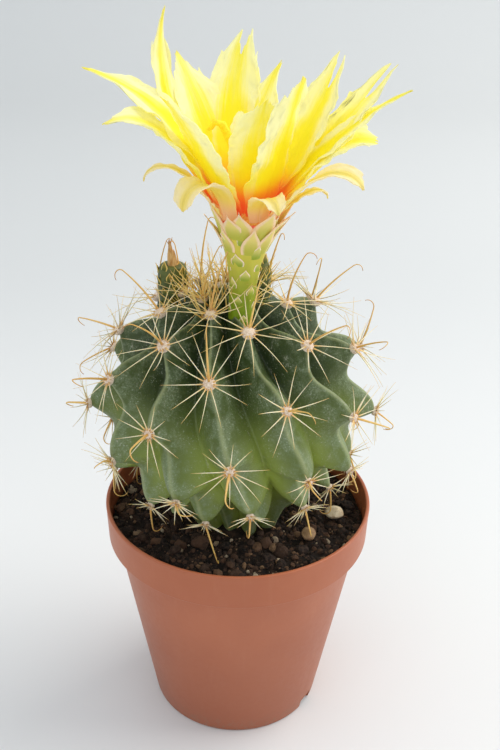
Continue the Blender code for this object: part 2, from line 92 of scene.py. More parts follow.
# The flower
TUBE_FOOT = Vector((-0.1, -1.5, 89.3)) * MM
TUBE_LEAN = Matrix.Rotation(math.radians(3), 3, "Y")
MOUTH = Vector((1.0, -1.5, 111.0)) * MM
FRUIT_CENTRE = Vector((-13.4, 8, 92.4)) * MM
BUD_CENTRE = Vector((3.4, 6, 95.4)) * MM


def heading(azimuth):
    """The level direction at an azimuth in degrees, from the front towards the right."""
    angle = math.radians(azimuth)
    return Vector((math.sin(angle), -math.cos(angle), 0.0))


def polar_at(age):
    """How far an areole stands from the crown, in radians, after so many younger ones."""
    turn = math.pi * (age + POLAR_START) / POLAR_SPAN
    return math.radians(POLAR_MIDDLE - POLAR_SWING * math.cos(turn))


def areole_frame(age):
    """Where an areole stands, and its directions: right, towards the crown, outwards."""
    polar = polar_at(age)
    half = STEM_UPPER if polar < math.pi / 2 else STEM_LOWER
    out = heading(FIRST_AZIMUTH - DIVERGENCE * age)
    point = out * (STEM_RADIUS * math.sin(polar)) + UP * (half * math.cos(polar))
    normal = out * (math.sin(polar) / STEM_RADIUS) + UP * (math.cos(polar) / half)
    outward = STEM_LEAN @ normal.normalized()
    right = UP.cross(outward).normalized()
    return STEM_CENTRE + STEM_LEAN @ point, right, outward.cross(right), outward


# Node trees, wired from expressions


def fill_ramp(ramp, stops):
    while len(ramp.elements) > 1:
        ramp.elements.remove(ramp.elements[-1])
    for number, (place, colour) in enumerate(stops):
        element = ramp.elements[0] if number == 0 else ramp.elements.new(place)
        element.position = place
        element.color = (*colour, 1.0)


class Wire:
    """What leaves a node's socket. Arithmetic on it adds Math nodes, or Vector Math nodes for vectors."""

    def __init__(self, bench, socket):
        self.bench = bench
        self.socket = socket

    def maths(self, operation, *terms):
        vectors = any(isinstance(t, Wire) and t.socket.type == "VECTOR" for t in terms)
        kind = "ShaderNodeVectorMath" if vectors else "ShaderNodeMath"
        return self.bench.node(kind, dict(enumerate(terms)), operation=operation)

    def __rsub__(self, other):
        return self.maths("SUBTRACT", other, self)

    def __mul__(self, other):
        arrows = [t for t in (self, other) if isinstance(t, Wire) and t.socket.type == "VECTOR"]
        if len(arrows) != 1:
            return self.maths("MULTIPLY", self, other)
        scale = other if arrows[0] is self else self
        return self.bench.node("ShaderNodeVectorMath", {0: arrows[0], 3: scale}, operation="SCALE")

    __rmul__ = __mul__

    def between(self, low, high):
        """0 at low and 1 at high, eased, and held beyond them."""
        return self.bench.node(
            "ShaderNodeMapRange", {0: self, 1: low, 2: high}, interpolation_type="SMOOTHSTEP",
        )


WIRE_MATHS = {
    "__add__": "ADD", "__radd__": "ADD", "__sub__": "SUBTRACT", "__truediv__": "DIVIDE", "__pow__": "POWER",
    "__gt__": "GREATER_THAN", "__lt__": "LESS_THAN", "__abs__": "ABSOLUTE", "sine": "SINE", "cosine": "COSINE",
    "at_least": "MAXIMUM", "at_most": "MINIMUM", "fraction": "FRACT", "nearest_whole": "ROUND",
    "cross": "CROSS_PRODUCT", "unit": "NORMALIZE",
}
for method, operation in WIRE_MATHS.items():
    setattr(Wire, method, lambda *terms, operation=operation: terms[0].maths(operation, *terms))


class Bench:
    """A node tree being wired, with one method for every kind of node."""

    def __init__(self, tree):
        self.tree = tree

    def node(self, kind, sockets=None, output=None, stops=None, **settings):
        """A new node with its sockets fed or set, as the wire of one output: the first that is on, or the one given."""
        made = self.tree.nodes.new(kind)
        for name, setting in settings.items():
            setattr(made, name, setting)
        if stops:
            fill_ramp(made.color_ramp, stops)
        for key, term in (sockets or {}).items():
            if isinstance(term, Wire):
                self.tree.links.new(term.socket, made.inputs[key])
            else:
                made.inputs[key].default_value = term
        if output is None:
            output = next(n for n, s in enumerate(made.outputs) if s.enabled)
        return Wire(self, made.outputs[output])

    def parts(self, vector):
        split = self.node("ShaderNodeSeparateXYZ", {0: vector})
        return [Wire(self, s) for s in split.socket.node.outputs]

    def joined(self, x, y, z):
        return self.node("ShaderNodeCombineXYZ", {0: x, 1: y, 2: z})

    def noise(self, place, scale, detail=2.0, roughness=0.5):
        return self.node("ShaderNodeTexNoise", {0: place, 2: scale, 3: detail, 4: roughness})


# Materials


class Finish(Bench):
    """A material with one Principled surface, whose constants are set on its own sockets."""

    def __init__(self, name, **constants):
        self.material = bpy.data.materials.new(name)
        self.material.use_nodes = True
        super().__init__(self.material.node_tree)
        self.tree.nodes.clear()
        values = {key.replace("_", " "): value for key, value in constants.items()}
        self.surface = self.node("ShaderNodeBsdfPrincipled", values)
        self.output = self.tree.nodes.new("ShaderNodeOutputMaterial")
        self.shown_by(self.surface)
        self.place = self.node("ShaderNodeTexCoord", output=3)
        self.height = self.parts(self.place)[2]

    def shown_by(self, shader):
        self.tree.links.new(shader.socket, self.output.inputs["Surface"])

    def read(self, attribute):
        return self.node("ShaderNodeAttribute", output=2, attribute_name=attribute)

    def ramp(self, share, *stops):
        return self.node("ShaderNodeValToRGB", {0: share}, stops=stops)

    def mix(self, share, low, high):
        low, high = ((*c, 1.0) if isinstance(c, tuple) else c for c in (low, high))
        return self.node("ShaderNodeMix", {0: share, 6: low, 7: high}, data_type="RGBA")

    def coats(self, colour, *coats):
        """A colour with others laid over it in turn, each by its own share."""
        for share, coat in coats:
            colour = self.mix(share, colour, coat)
        return colour

    def grain(self, *values):
        """Noise with a scale, detail and roughness, in the piece's own place."""
        return self.noise(self.place, *values)

    def stretched_noise(self, rise, *values):
        return self.noise(self.node("ShaderNodeMapping", {0: self.place, 3: (1, 1, rise)}), *values)

    def finished(self, colour, roughness=None, bump=None, painted_glow=False):
        """The material with its colour, roughness and bump (height, strength, distance) fed to the surface, and its
        colour fed to the emission too where it is given a painted glow.
        """
        links = {"Base Color": colour, "Emission Color": colour if painted_glow else None, "Roughness": roughness}
        if bump:
            links["Normal"] = self.node("ShaderNodeBump", dict(zip(("Height", "Strength", "Distance"), bump)))
        for key, wire in links.items():
            if wire:
                self.tree.links.new(wire.socket, self.surface.socket.node.inputs[key])
        return self.material


def terracotta_plastic():
    f = Finish("terracotta_plastic", Specular_IOR_Level=0.5)
    fine = f.grain(900, 3, 0.6)
    streaks = f.stretched_noise(0.15, 420, 4, 0.6)
    dust = (1 - f.height.between(0.0, 0.006)) * fine.between(0.45, 0.65) * 0.45
    colour = f.coats(
        (0.43, 0.118, 0.047),
        (f.grain(60, 3).between(0.3, 0.7), (0.475, 0.138, 0.057)),
        (streaks.between(0.5, 0.85) * 0.14, (0.62, 0.27, 0.15)),
        # Painted shade: the pot grows darker towards its bottom.
        ((1 - f.height.between(0.004, 0.043)) * 0.6, (0.31, 0.084, 0.033)),
        (dust, (0.30, 0.20, 0.15)),
    )
    return f.finished(colour, 0.36 + fine * 0.16 + dust * 0.2, (fine * 0.5 + streaks * 0.5, 0.18, 0.00005))


def peat():
    f = Finish("peat", Roughness=0.95, Specular_IOR_Level=0.25)
    lumps = f.grain(500, 5, 0.65)
    specks = f.grain(1500, 3, 0.7)
    colour = f.ramp(
        lumps, (0.30, (0.006, 0.005, 0.005)), (0.50, (0.020, 0.013, 0.009)),
        (0.66, (0.060, 0.033, 0.020)), (0.80, (0.14, 0.085, 0.05)),
    )
    colour = f.mix(specks.between(0.66, 0.74), colour, (0.20, 0.12, 0.07))
    return f.finished(colour, 0.85 + lumps * 0.15, (lumps * 0.7 + specks * 0.3, 0.8, 0.0006))


def compost_crumb():
    f = Finish("compost_crumb", Roughness=0.9, Specular_IOR_Level=0.3)
    grain = f.grain(1800, 4, 0.6)
    colour = f.ramp(
        f.read("tone"), (0.0, (0.006, 0.005, 0.004)), (0.40, (0.018, 0.011, 0.008)),
        (0.62, (0.055, 0.028, 0.016)), (0.84, (0.12, 0.06, 0.032)), (0.95, (0.24, 0.14, 0.07)),
        (0.99, (0.50, 0.40, 0.27)),
    )
    colour = f.mix(grain.between(0.35, 0.75) * 0.6, colour, (0.10, 0.06, 0.04))
    return f.finished(colour, bump=(grain, 0.7, 0.0002))


def pale_stone(name, light, dark):
    f = Finish(name, Roughness=0.7)
    grain = f.grain(700, 5, 0.6)
    specks = f.grain(2500, 2).between(0.62, 0.7) * 0.6
    colour = f.coats(dark, (grain.between(0.35, 0.65), light), (specks, (0.16, 0.09, 0.05)))
    return f.finished(colour, 0.6 + grain * 0.3, (grain, 0.6, 0.0003))


def cactus_skin():
    """Painted shade, near black, in the grooves above; fresh green below, with a pale bloom, a pale line along the
    crests that is a painted highlight, and fine flecks and scuffs towards the crests.
    """
    f = Finish("cactus_skin", Roughness=0.5, Specular_IOR_Level=0.35, Subsurface_Weight=0.12,
               Subsurface_Radius=(0.6, 1.0, 0.25), Subsurface_Scale=0.0015)
    ridge, tip, low = (f.read(n) for n in ("ridge", "tip", "low"))
    broad = f.grain(90, 4, 0.55)
    mottle = f.grain(420, 4, 0.6)
    pores = f.grain(3200, 2, 0.6)
    fresh = (1 - ridge.between(0.0, 0.85)) * low.between(0.40, 0.75) * broad.between(0.25, 0.55)
    bloom = ridge.between(0.3, 0.95) * (0.3 + 0.7 * low.between(0.2, 0.75)) * mottle.between(0.35, 0.62)
    # Painted shade: the upper grooves are coloured near black, where shade falls between the tubercles.
    painted_groove_shade = (1 - ridge.between(0.05, 0.75)) * (1 - low.between(0.25, 0.55))
    # Painted highlight: a pale line along the crests.
    crest = ridge.between(0.87, 0.99) * (0.6 + 0.4 * broad)
    powder = f.grain(2600, 5, 0.8).between(0.42, 0.68) * mottle.between(0.38, 0.58)
    powder = powder * ridge.between(0.1, 0.7)
    flecks = pores.between(0.61, 0.69) * (0.2 + 0.8 * mottle.between(0.45, 0.62))
    scuffs = f.stretched_noise(0.45, 1300, 4, 0.75).between(0.58, 0.70) * tip * mottle.between(0.42, 0.60)
    green = f.coats(
        (0.036, 0.060, 0.012),
        (low.between(0.25, 0.8), (0.165, 0.210, 0.048)),
        (fresh * 0.8, (0.38, 0.46, 0.080)),
        (bloom * 0.6, (0.195, 0.255, 0.142)),
        (painted_groove_shade * 0.85, (0.012, 0.024, 0.005)),
        (crest * 0.6, (0.38, 0.41, 0.20)),
        (powder * 0.42, (0.36, 0.42, 0.27)),
        (flecks * 0.5, (0.55, 0.60, 0.46)),
        (scuffs * 0.8, (0.52, 0.49, 0.38)),
    )
    relief = mottle * 0.5 + f.grain(1100, 4, 0.7) * 0.35 + pores * 0.15
    return f.finished(green, 0.42 + bloom * 0.25 + flecks * 0.1, (relief, 0.8, 0.00035))


def spine_straw(name, middle, ends, root):
    """Straw-coloured spines, browner at the root and the tip."""
    f = Finish(name, Roughness=0.42, Subsurface_Weight=0.15, Subsurface_Radius=(1.0, 0.6, 0.2), Subsurface_Scale=0.0004)
    grain = f.grain(2600, 3)
    colour = f.coats(
        f.ramp(
            f.read("along"), (0.0, root), (0.10, ends), (0.30, middle), (0.66, middle), (0.90, ends), (1.0, root),
        ),
        (f.read("tone") * 0.75, (0.92, 0.64, 0.17)), (grain.between(0.4, 0.8) * 0.25, root),
    )
    return f.finished(colour, 0.38 + grain * 0.15, (grain, 0.3, 0.00004))


def areole_felt():
    f = Finish("areole_felt", Roughness=0.95, Sheen_Weight=0.3, Sheen_Roughness=0.5)
    fibre = f.grain(3500, 3)
    colour = f.coats(
        (0.70, 0.52, 0.37), (fibre.between(0.3, 0.7), (0.96, 0.80, 0.64)), (f.read("tone") * 0.5, (0.62, 0.44, 0.14)),
    )
    return f.finished(colour, bump=(fibre, 0.6, 0.0001))


def petal_silk(name, pale, rich, rib, throat, glow):
    """A thin petal that lets light through: richer along its rib and at its foot, pale at its ragged edge."""
    # The emission, of the petal's own colour, is a painted glow: the petal shines with no lamp.
    f = Finish(name, Specular_IOR_Level=0.25, Emission_Strength=0.16)
    along = f.read("along")
    across = abs(f.read("across"))
    veins = f.noise(f.joined(f.read("across") * 9, along * 1.1, f.read("seed") * 7), 2.2, 4.0, 0.6)
    cloud = f.grain(160, 3)
    richness = (1 - across.between(0.15, 0.9)) * 0.75 + (1 - along.between(0.2, 0.75)) * 0.8
    middle = (1 - across.between(0.0, 0.2)) * along.between(0.12, 0.45) * veins.between(0.2, 0.8)
    foot = 1 - along.between(0.06, 0.31)
    rust = along.between(0.93, 1.0) * veins.between(0.35, 0.7)
    colour = f.coats(
        pale,
        ((richness + (veins - 0.5) * 0.9 + (cloud - 0.5) * 0.6).between(0.25, 1.05), rich),
        (middle * 0.6, rib),
        (foot * (0.7 + 0.5 * veins).at_most(1.0), throat),
        (rust * 0.45, (0.60, 0.33, 0.06)),
    )
    behind = f.node("ShaderNodeBsdfTranslucent", {"Color": glow})
    f.shown_by(f.node("ShaderNodeMixShader", {0: 0.38, 1: f.surface, 2: behind}))
    return f.finished(colour, 0.42 + veins * 0.2, (veins, 0.5, 0.00012), painted_glow=True)


def flower_tube_skin():
    # The emission, of the skin's own colour, is a painted glow.
    f = Finish("flower_tube_skin", Specular_IOR_Level=0.25, Emission_Strength=0.10, Subsurface_Weight=0.2,
               Subsurface_Radius=(0.8, 1.0, 0.2), Subsurface_Scale=0.001)
    cloud = f.stretched_noise(0.25, 500, 3)
    colour = f.coats(
        (0.18, 0.27, 0.008),
        (f.height.between(0.092, 0.108), (0.68, 0.58, 0.080)),
        (cloud.between(0.4, 0.7) * 0.3, (0.42, 0.48, 0.05)),
        (f.height.between(0.1094, 0.1102), (0.90, 0.20, 0.15)),
    )
    return f.finished(colour, 0.42 + cloud * 0.16, (cloud, 0.3, 0.0001), painted_glow=True)


def scale_skin(name, foot, body, margin, middle, glow=0.08):
    """A small bract: its foot like the tube, its margin dry and pale, shining with a painted glow whose strength is
    glow.
    """
    f = Finish(name, Specular_IOR_Level=0.3, Emission_Strength=glow, Subsurface_Weight=0.1, Subsurface_Scale=0.0006)
    along = f.read("along")
    cloud = f.grain(1500, 3)
    edge = abs(f.read("across")) ** 2 + along ** 3 + (cloud - 0.5) * 0.3
    colour = f.coats(foot, (along.between(0.05, 0.7), body), (edge.between(middle - 0.3, middle + 0.15), margin))
    return f.finished(colour, 0.42 + cloud * 0.2, (cloud, 0.4, 0.00008), painted_glow=True)


def pollen_yellow(name, light, dark):
    # The emission, of its own colour, is a painted glow that lifts the yellow out of shade.
    f = Finish(name, Roughness=0.8, Emission_Strength=0.18)
    grain = f.grain(4000, 3)
    return f.finished(f.mix(grain.between(0.35, 0.65), dark, light), bump=(grain, 0.6, 0.0001), painted_glow=True)


def dark_fruit_skin():
    f = Finish("dark_fruit_skin", Roughness=0.45)
    cloud = f.grain(700, 4)
    colour = f.coats(
        (0.026, 0.048, 0.006),
        (cloud.between(0.3, 0.7), (0.085, 0.115, 0.016)),
        (f.height.between(0.094, 0.100) * 0.5, (0.20, 0.20, 0.03)),
    )
    return f.finished(colour, 0.38 + cloud * 0.2, (cloud, 0.5, 0.0002))


def dried_petals():
    f = Finish("dried_petals", Roughness=0.8)
    crease = f.stretched_noise(0.3, 1600, 4, 0.6)
    colour = f.coats(
        (0.55, 0.26, 0.07),
        (crease.between(0.3, 0.7), (0.82, 0.55, 0.24)),
        (f.read("along").between(0.7, 1.0) * 0.6, (0.34, 0.12, 0.03)),
    )
    return f.finished(colour, 0.7 + crease * 0.2, (crease, 0.8, 0.0003))


def studio_paper():
    f = Finish("studio_paper", Roughness=0.75, Specular_IOR_Level=0.2)
    # Painted shade: the paper grows darker towards the back.
    far = f.parts(f.place)[1].between(0.0, 0.26)
    colour = f.coats((0.80, 0.80, 0.785), (f.grain(6, 2), (0.83, 0.825, 0.81)), (far, (0.67, 0.675, 0.665)))
    return f.finished(colour, 0.7 + f.grain(700, 3) * 0.1)


# Geometry trees


class Growth(Bench):
    """A geometry tree. Its inputs are a geometry, whole numbers, lengths or shares, and a material: t["Name"]."""

    def __init__(self, name, **inputs):
        super().__init__(bpy.data.node_groups.new(name, "GeometryNodeTree"))
        interface = self.tree.interface
        interface.new_socket("Geometry", in_out="OUTPUT", socket_type="NodeSocketGeometry")
        for label, value in {"Geometry": None, **inputs, "Material": None}.items():
            kind = "NodeSocket" + {int: "Int", float: "Float"}.get(type(value), label)
            socket = interface.new_socket(label.replace("_", " "), in_out="INPUT", socket_type=kind)
            if value is not None:
                socket.default_value = value
        self.entry = self.tree.nodes.new("NodeGroupInput")

    def __getitem__(self, label):
        return Wire(self, self.entry.outputs[label])

    def position(self):
        return self.node("GeometryNodeInputPosition")

    def fixed(self, vector):
        return self.node("FunctionNodeInputVector", vector=vector)

    def realized(self, shape):
        return self.node("GeometryNodeRealizeInstances", {0: shape})

    def moved(self, shape, place):
        return self.node("GeometryNodeSetPosition", {0: shape, 2: place})

    def kept(self, points, **values):
        """Stores values on every point, each under its name."""
        for name, value in values.items():
            vector = isinstance(value, Wire) and value.socket.type == "VECTOR"
            points = self.node(
                "GeometryNodeStoreNamedAttribute", {0: points, 2: name, 3: value},
                data_type="FLOAT_VECTOR" if vector else "FLOAT", domain="POINT",
            )
        return points

    def recalled(self, *names, vector=False):
        """The wires of values stored on the points."""
        kind = "FLOAT_VECTOR" if vector else "FLOAT"
        wires = [self.node("GeometryNodeInputNamedAttribute", {0: name}, data_type=kind) for name in names]
        return wires if len(wires) > 1 else wires[0]

    def one_on_each(self, form):
        """Real copies of a form, one on each point given, with four wires: the vertex's place in its form, and its
        point's foot, aim and bend."""
        form = self.kept(form, shape=self.position())
        copies = self.realized(self.node("GeometryNodeInstanceOnPoints", {0: self["Geometry"], 2: form}))
        shape, aim, bend = self.recalled("shape", "aim", "bend", vector=True)
        return copies, shape, self.position() - shape, aim, bend

    def delivered(self, shape):
        """The finished tree: instances made real, the material set."""
        shape = self.node("GeometryNodeSetMaterial", {0: self.realized(shape), 2: self["Material"]})
        exit_node = self.tree.nodes.new("NodeGroupOutput")
        self.tree.links.new(shape.socket, exit_node.inputs[0])
        return self.tree


def ribbed_stem_tree():
    """The stem: a grid wound round the axis so that its columns follow the ribs and its rows the areoles' ages."""
    t = Growth(
        "ribbed_stem", Columns=417, Rows=220, Groove_Depth=7.6 * MM, Saddle_Depth=4.2 * MM,
        Neck_Share=0.06, Neck_Depth=14.7 * MM, Unevenness=0.8 * MM,
    )
    grid = t.node("GeometryNodeMeshGrid", {0: 1.0, 1: 1.0, 2: t["Columns"], 3: t["Rows"]})
    x, y, _ = t.parts(t.position())
    turns = x + 0.5
    down = y + 0.5
    body_share = 1 - t["Neck Share"]
    body = (down / body_share).at_most(1.0)
    neck = (down - body_share).at_least(0.0) / t["Neck Share"]
    age = CROWN_AGE + body * (BASE_AGE - CROWN_AGE)
    rib = turns * RIBS
    crest = rib.nearest_whole()
    across = abs(rib - crest) * 2
    degrees = POLAR_MIDDLE - ((age + POLAR_START) * (math.pi / POLAR_SPAN)).cosine() * POLAR_SWING
    degrees = degrees * (down > 0.0001)
    polar = degrees * (math.pi / 180)
    azimuth = (FIRST_AZIMUTH + age * RIB_DRIFT + rib * RIB_STEP) * (math.pi / 180)
    out = t.joined(azimuth.sine(), azimuth.cosine() * -1, 0.0)
    half = STEM_LOWER + (degrees < 90) * (STEM_UPPER - STEM_LOWER)
    sine = polar.sine()
    axis = t.fixed((0, 0, 1))
    surface = out * (sine * STEM_RADIUS) + axis * (half * polar.cosine())
    normal = (out * (sine / STEM_RADIUS) + axis * (polar.cosine() / half)).unit()
    cycle = ((age - 5 * crest) / RIBS + 8).fraction()
    tubercle = 0.5 + (cycle ** 0.65 * (2 * math.pi)).cosine() * 0.5
    sharp = 0.9 - down.between(0.25, 0.8) * 0.6
    blade = ((across * across + 0.006) ** 0.5 - 0.0775).at_most(1.0)
    flank = sharp * (blade * (math.pi / 2)).sine() + (1 - sharp) * across ** 2.2
    upper = (sine / 0.75).at_most(1.0) ** 0.8
    lower = 1 - ((degrees - 90) / 45).at_least(0.0).at_most(1.0) * 0.12
    relief = upper * (degrees < 90) + lower * (1 - (degrees < 90))
    deeper = 1.22 - down.between(0.2, 0.6) * 0.22
    swell = t.noise(surface, 70, 2) - 0.5
    ripple = t.noise(surface, 260, 2) - 0.5
    sink = relief * (t["Saddle Depth"] * (1 - tubercle) * (1 - flank) + t["Groove Depth"] * deeper * flank)
    sink = sink + (swell + ripple * 0.35) * t["Unevenness"] * (0.25 + flank) * upper
    point = surface - normal * sink
    px, py, pz = t.parts(point)
    waist = (1 - neck ** 0.5 * 0.55) * ((1 - neck) / 0.15).at_most(1.0)
    point = t.joined(px * waist, py * waist, pz - neck * t["Neck Depth"])
    for axis_name, angle in STEM_TURNS:
        point = t.node(
            "ShaderNodeVectorRotate", {0: point, 3: math.radians(angle)}, rotation_type=f"{axis_name}_AXIS",
        )
    shape = t.kept(grid, ridge=1 - across, tip=tubercle, low=down)
    shape = t.moved(shape, point + t.fixed(STEM_CENTRE))
    shape = t.node("GeometryNodeMergeByDistance", {0: shape, 2: 0.002 * MM})
    return t.delivered(shape)


def spine_tree():
    """Tapering spines, one on each point: an arched shaft, then a tighter curl for those that hook."""
    t = Growth("spines", Sides=5, Rings=6, Taper=0.85)
    rod = t.node("GeometryNodeMeshCylinder", {0: t["Sides"], 1: t["Rings"], 3: 1.0, 4: 1.0}, fill_type="TRIANGLE_FAN")
    copies, shape, foot, aim, bend = t.one_on_each(rod)
    reach, straight, arch, curl, girth = t.recalled("reach", "straight", "arch", "curl", "girth")
    x, y, z = t.parts(shape)
    along = z + 0.5
    run = along * reach
    first = run.at_most(straight) / arch
    last = first + (run - straight).at_least(0.0) / curl
    forward = arch * first.sine() + curl * (last.sine() - first.sine())
    aside = arch * (1 - first.cosine()) + curl * (first.cosine() - last.cosine())
    side = aim.cross(bend)
    outer = (aim * last.cosine() + bend * last.sine()).cross(side)
    thickness = girth * (1 - t["Taper"] * along ** 1.3) + girth * (1 - along * 14).at_least(0.0) * 0.5
    place = foot + aim * forward + bend * aside + (side * x + outer * y) * thickness
    return t.delivered(t.kept(t.moved(copies, place), along=along))


def petal_tree():
    """A petal: a grid laid along a centre line, cupped, ruffled and split at its tip."""
    t = Growth(
        "petal", Width=8 * MM, Cup=0.12, Ruffle=0.5 * MM, Shoulder=0.5, Foot_Width=0.25, Tips=1.0, Split=0.12,
        Ragged=0.05, Bluntness=0.05, Fray=0.35, Seed=0.0, Rows=48, Columns=25,
    )
    grid = t.node("GeometryNodeMeshGrid", {0: 1.0, 1: 2.0, 2: t["Rows"], 3: t["Columns"]})
    x, across, _ = t.parts(t.position())
    fringe = 0.5 - ((across + 1) * t["Tips"] * math.pi).cosine() * 0.5
    teeth = t.noise(t.joined(across * 5, t["Seed"] * 3, 0.0), 1.6, 3, 0.8)
    end = 1 - t["Split"] * (1 - fringe ** 0.8) - t["Ragged"] * (teeth - 0.35).at_least(0.0) * 3
    along = (x + 0.5) * end
    opened = ((along / t["Shoulder"]).at_most(1.0) * (math.pi / 2)).sine()
    past = (along - t["Shoulder"]).at_least(0.0) / (1 - t["Shoulder"])
    closed = (1 - past ** 1.8) * (1 - past * 0.25) + t["Bluntness"] * past
    half = t["Width"] * 0.5 * (t["Foot Width"] + (1 - t["Foot Width"]) * opened) * closed.at_least(0.04)
    fray = t.noise(t.joined(along * 9, across * 0.8, t["Seed"] * 5), 2.0, 3, 0.7) - 0.5
    half = half * (1 + fray * t["Fray"] * along.between(0.1, 0.5))
    line = t.node("GeometryNodeMeshToCurve", {0: t["Geometry"]})
    sampled = t.node(
        "GeometryNodeSampleCurve", {0: line, 1: t.recalled("side", vector=True), 2: along},
        mode="FACTOR", data_type="FLOAT_VECTOR",
    )
    side, place, tangent = (Wire(t, s) for s in sampled.socket.node.outputs[:3])
    outside = side.cross(tangent).unit()
    wave = t.noise(t.joined(along * 6, across * 1.5, t["Seed"]), 1.3, 2) - 0.5
    fold = (1 - across ** 2) * t["Cup"] * half - (1 - abs(across) * 6).at_least(0.0) * 0.16 * MM
    lift = fold + wave * t["Ruffle"] * (across ** 2 * 2 + 0.4) * (along * 3).at_most(1.0)
    shape = t.kept(grid, along=along, across=across, seed=t["Seed"])
    shape = t.moved(shape, place + side * (half * across) + outside * lift)
    return t.delivered(shape)


def scale_tree():
    """Pointed bracts on a round body, one on each point, their tips standing off it."""
    t = Growth("bracts", Rows=7, Columns=7, Wrap_Radius=3 * MM)
    grid = t.node("GeometryNodeMeshGrid", {0: 1.0, 1: 2.0, 2: t["Rows"], 3: t["Columns"]})
    copies, shape, foot, aim, bend = t.one_on_each(grid)
    reach, girth, flare = t.recalled("reach", "girth", "flare")
    x, across, _ = t.parts(shape)
    along = x + 0.5
    half = girth * 0.5 * (1 - along ** 1.8).at_least(0.03) * (0.8 + (along * math.pi).sine() * 0.35)
    reached = reach * along * (1 - abs(across) * 0.12)
    sag = (half * across) ** 2 / (t["Wrap Radius"] * 2)
    out = reached * along * flare - sag + (1 - across ** 2) * 0.12 * MM
    place = foot + aim * reached + bend * out + aim.cross(bend) * (half * across)
    return t.delivered(t.kept(t.moved(copies, place), along=along, across=across))


def crumb_tree():
    """Crumbs of compost and grit, scattered over a surface: each a rough lump of its own size and tone."""
    t = Growth(
        "crumbs", Density=400000.0, Smallest=0.2 * MM, Largest=1.1 * MM, Rarity=3.0,
        Subdivisions=1, Roughness=0.45, Seed=4,
    )
    points = t.node(
        "GeometryNodeDistributePointsOnFaces", {0: t["Geometry"], 4: t["Density"], 6: t["Seed"]},
        distribute_method="RANDOM",
    )

    def drawn(step, low=None, high=None):
        if low is None:
            return t.node("FunctionNodeRandomValue", {2: 0.0, 3: 1.0, 8: t["Seed"] + step}, data_type="FLOAT")
        return t.node(
            "FunctionNodeRandomValue", {0: low, 1: high, 8: t["Seed"] + step}, data_type="FLOAT_VECTOR",
        )

    size = t["Smallest"] + (t["Largest"] - t["Smallest"]) * drawn(1) ** t["Rarity"]
    stretch = drawn(2, (0.6, 0.6, 0.5), (1.3, 1.2, 0.9))
    turn = t.node("FunctionNodeEulerToRotation", {0: drawn(3, (0.0, 0.0, 0.0), (6.28, 6.28, 6.28))})
    points = t.kept(points, tone=drawn(4), size=size)
    lump = t.node("GeometryNodeMeshIcoSphere", {0: 1.0, 1: t["Subdivisions"]})
    copies = t.node("GeometryNodeInstanceOnPoints", {0: points, 2: lump, 5: turn, 6: stretch * size})
    jolt = t.node("ShaderNodeTexNoise", {0: t.position(), 2: 1100.0, 3: 1.0}, output=1)
    offset = (jolt - t.fixed((0.5, 0.5, 0.5))) * (t.recalled("size") * t["Roughness"] * 2)
    shape = t.node("GeometryNodeSetPosition", {0: t.realized(copies), 3: offset})
    return t.delivered(shape)


def grain_tree():
    """Small rounded grains, one on each point, stretched along their own direction."""
    t = Growth("grains", Subdivisions=2)
    ball = t.node("GeometryNodeMeshIcoSphere", {0: 1.0, 1: t["Subdivisions"]})
    aim, size = t.recalled("aim", "size", vector=True)
    turn = t.node("FunctionNodeAlignRotationToVector", {2: aim}, axis="Z")
    copies = t.node("GeometryNodeInstanceOnPoints", {0: t["Geometry"], 2: ball, 5: turn, 6: size})
    return t.delivered(copies)


# Making pieces


SCRATCH_VALUES = ("shape", "aim", "bend", "reach", "straight", "arch", "curl", "girth", "flare", "size", "side")


def link(name, content):
    made = bpy.data.objects.new(name, content)
    bpy.context.scene.collection.objects.link(made)
    return made


def evaluated_mesh(holder):
    graph = bpy.context.evaluated_depsgraph_get()
    return bpy.data.meshes.new_from_object(holder.evaluated_get(graph))


def mesh_of(name, shape, outwards=False):
    """A mesh from a bmesh, which is freed."""
    if outwards:
        bmesh.ops.recalc_face_normals(shape, faces=shape.faces)
    mesh = bpy.data.meshes.new(name)
    shape.to_mesh(mesh)
    shape.free()
    return mesh


def point_mesh(name, rows, edges=False):
    """A mesh of points that carry values: each row is a dict with its place under "foot"."""
    mesh = bpy.data.meshes.new(name)
    mesh.from_pydata([row["foot"] for row in rows], [(i, i + 1) for i in range(len(rows) - 1)] if edges else [], [])
    for key, value in rows[0].items():
        if key != "foot":
            vector = isinstance(value, Vector)
            layer = mesh.attributes.new(key, "FLOAT_VECTOR" if vector else "FLOAT", "POINT")
            values = [c for row in rows for c in row[key]] if vector else [row[key] for row in rows]
            layer.data.foreach_set("vector" if vector else "value", values)
    return mesh


def plain_piece(name, mesh, material, slot, *nodes):
    """A smooth piece of one material."""
    mesh.materials.clear()
    mesh.materials.append(material)
    mesh.polygons.foreach_set("use_smooth", [True] * len(mesh.polygons))
    finish_piece(link(name, mesh), slot, *nodes)


def grown(name, slot, nodes, tree, source=None, smooth=True, sheet=0.0, **values):
    """A piece grown by a geometry tree from rows of points or a mesh, and made a sheet where it has a thickness."""
    if isinstance(source, list):
        source = point_mesh(name, source)
    holder = link(name + "_source", source or bpy.data.meshes.new(name))
    modifier = holder.modifiers.new(name, "NODES")
    modifier.node_group = tree
    for item in tree.interface.items_tree:
        label = item.name.replace(" ", "_")
        if item.in_out == "INPUT" and label in values:
            modifier[item.identifier] = values[label]
    mesh = evaluated_mesh(holder)
    bpy.data.objects.remove(holder, do_unlink=True)
    for spare in SCRATCH_VALUES:
        if spare in mesh.attributes:
            mesh.attributes.remove(mesh.attributes[spare])
    shape = bmesh.new()
    shape.from_mesh(mesh)
    bmesh.ops.recalc_face_normals(shape, faces=shape.faces)
    shape.to_mesh(mesh)
    shape.free()
    mesh.polygons.foreach_set("use_smooth", [smooth] * len(mesh.polygons))
    made = link(name, mesh)
    if sheet:
        thin_sheet(made, sheet)
    finish_piece(made, slot, *nodes)


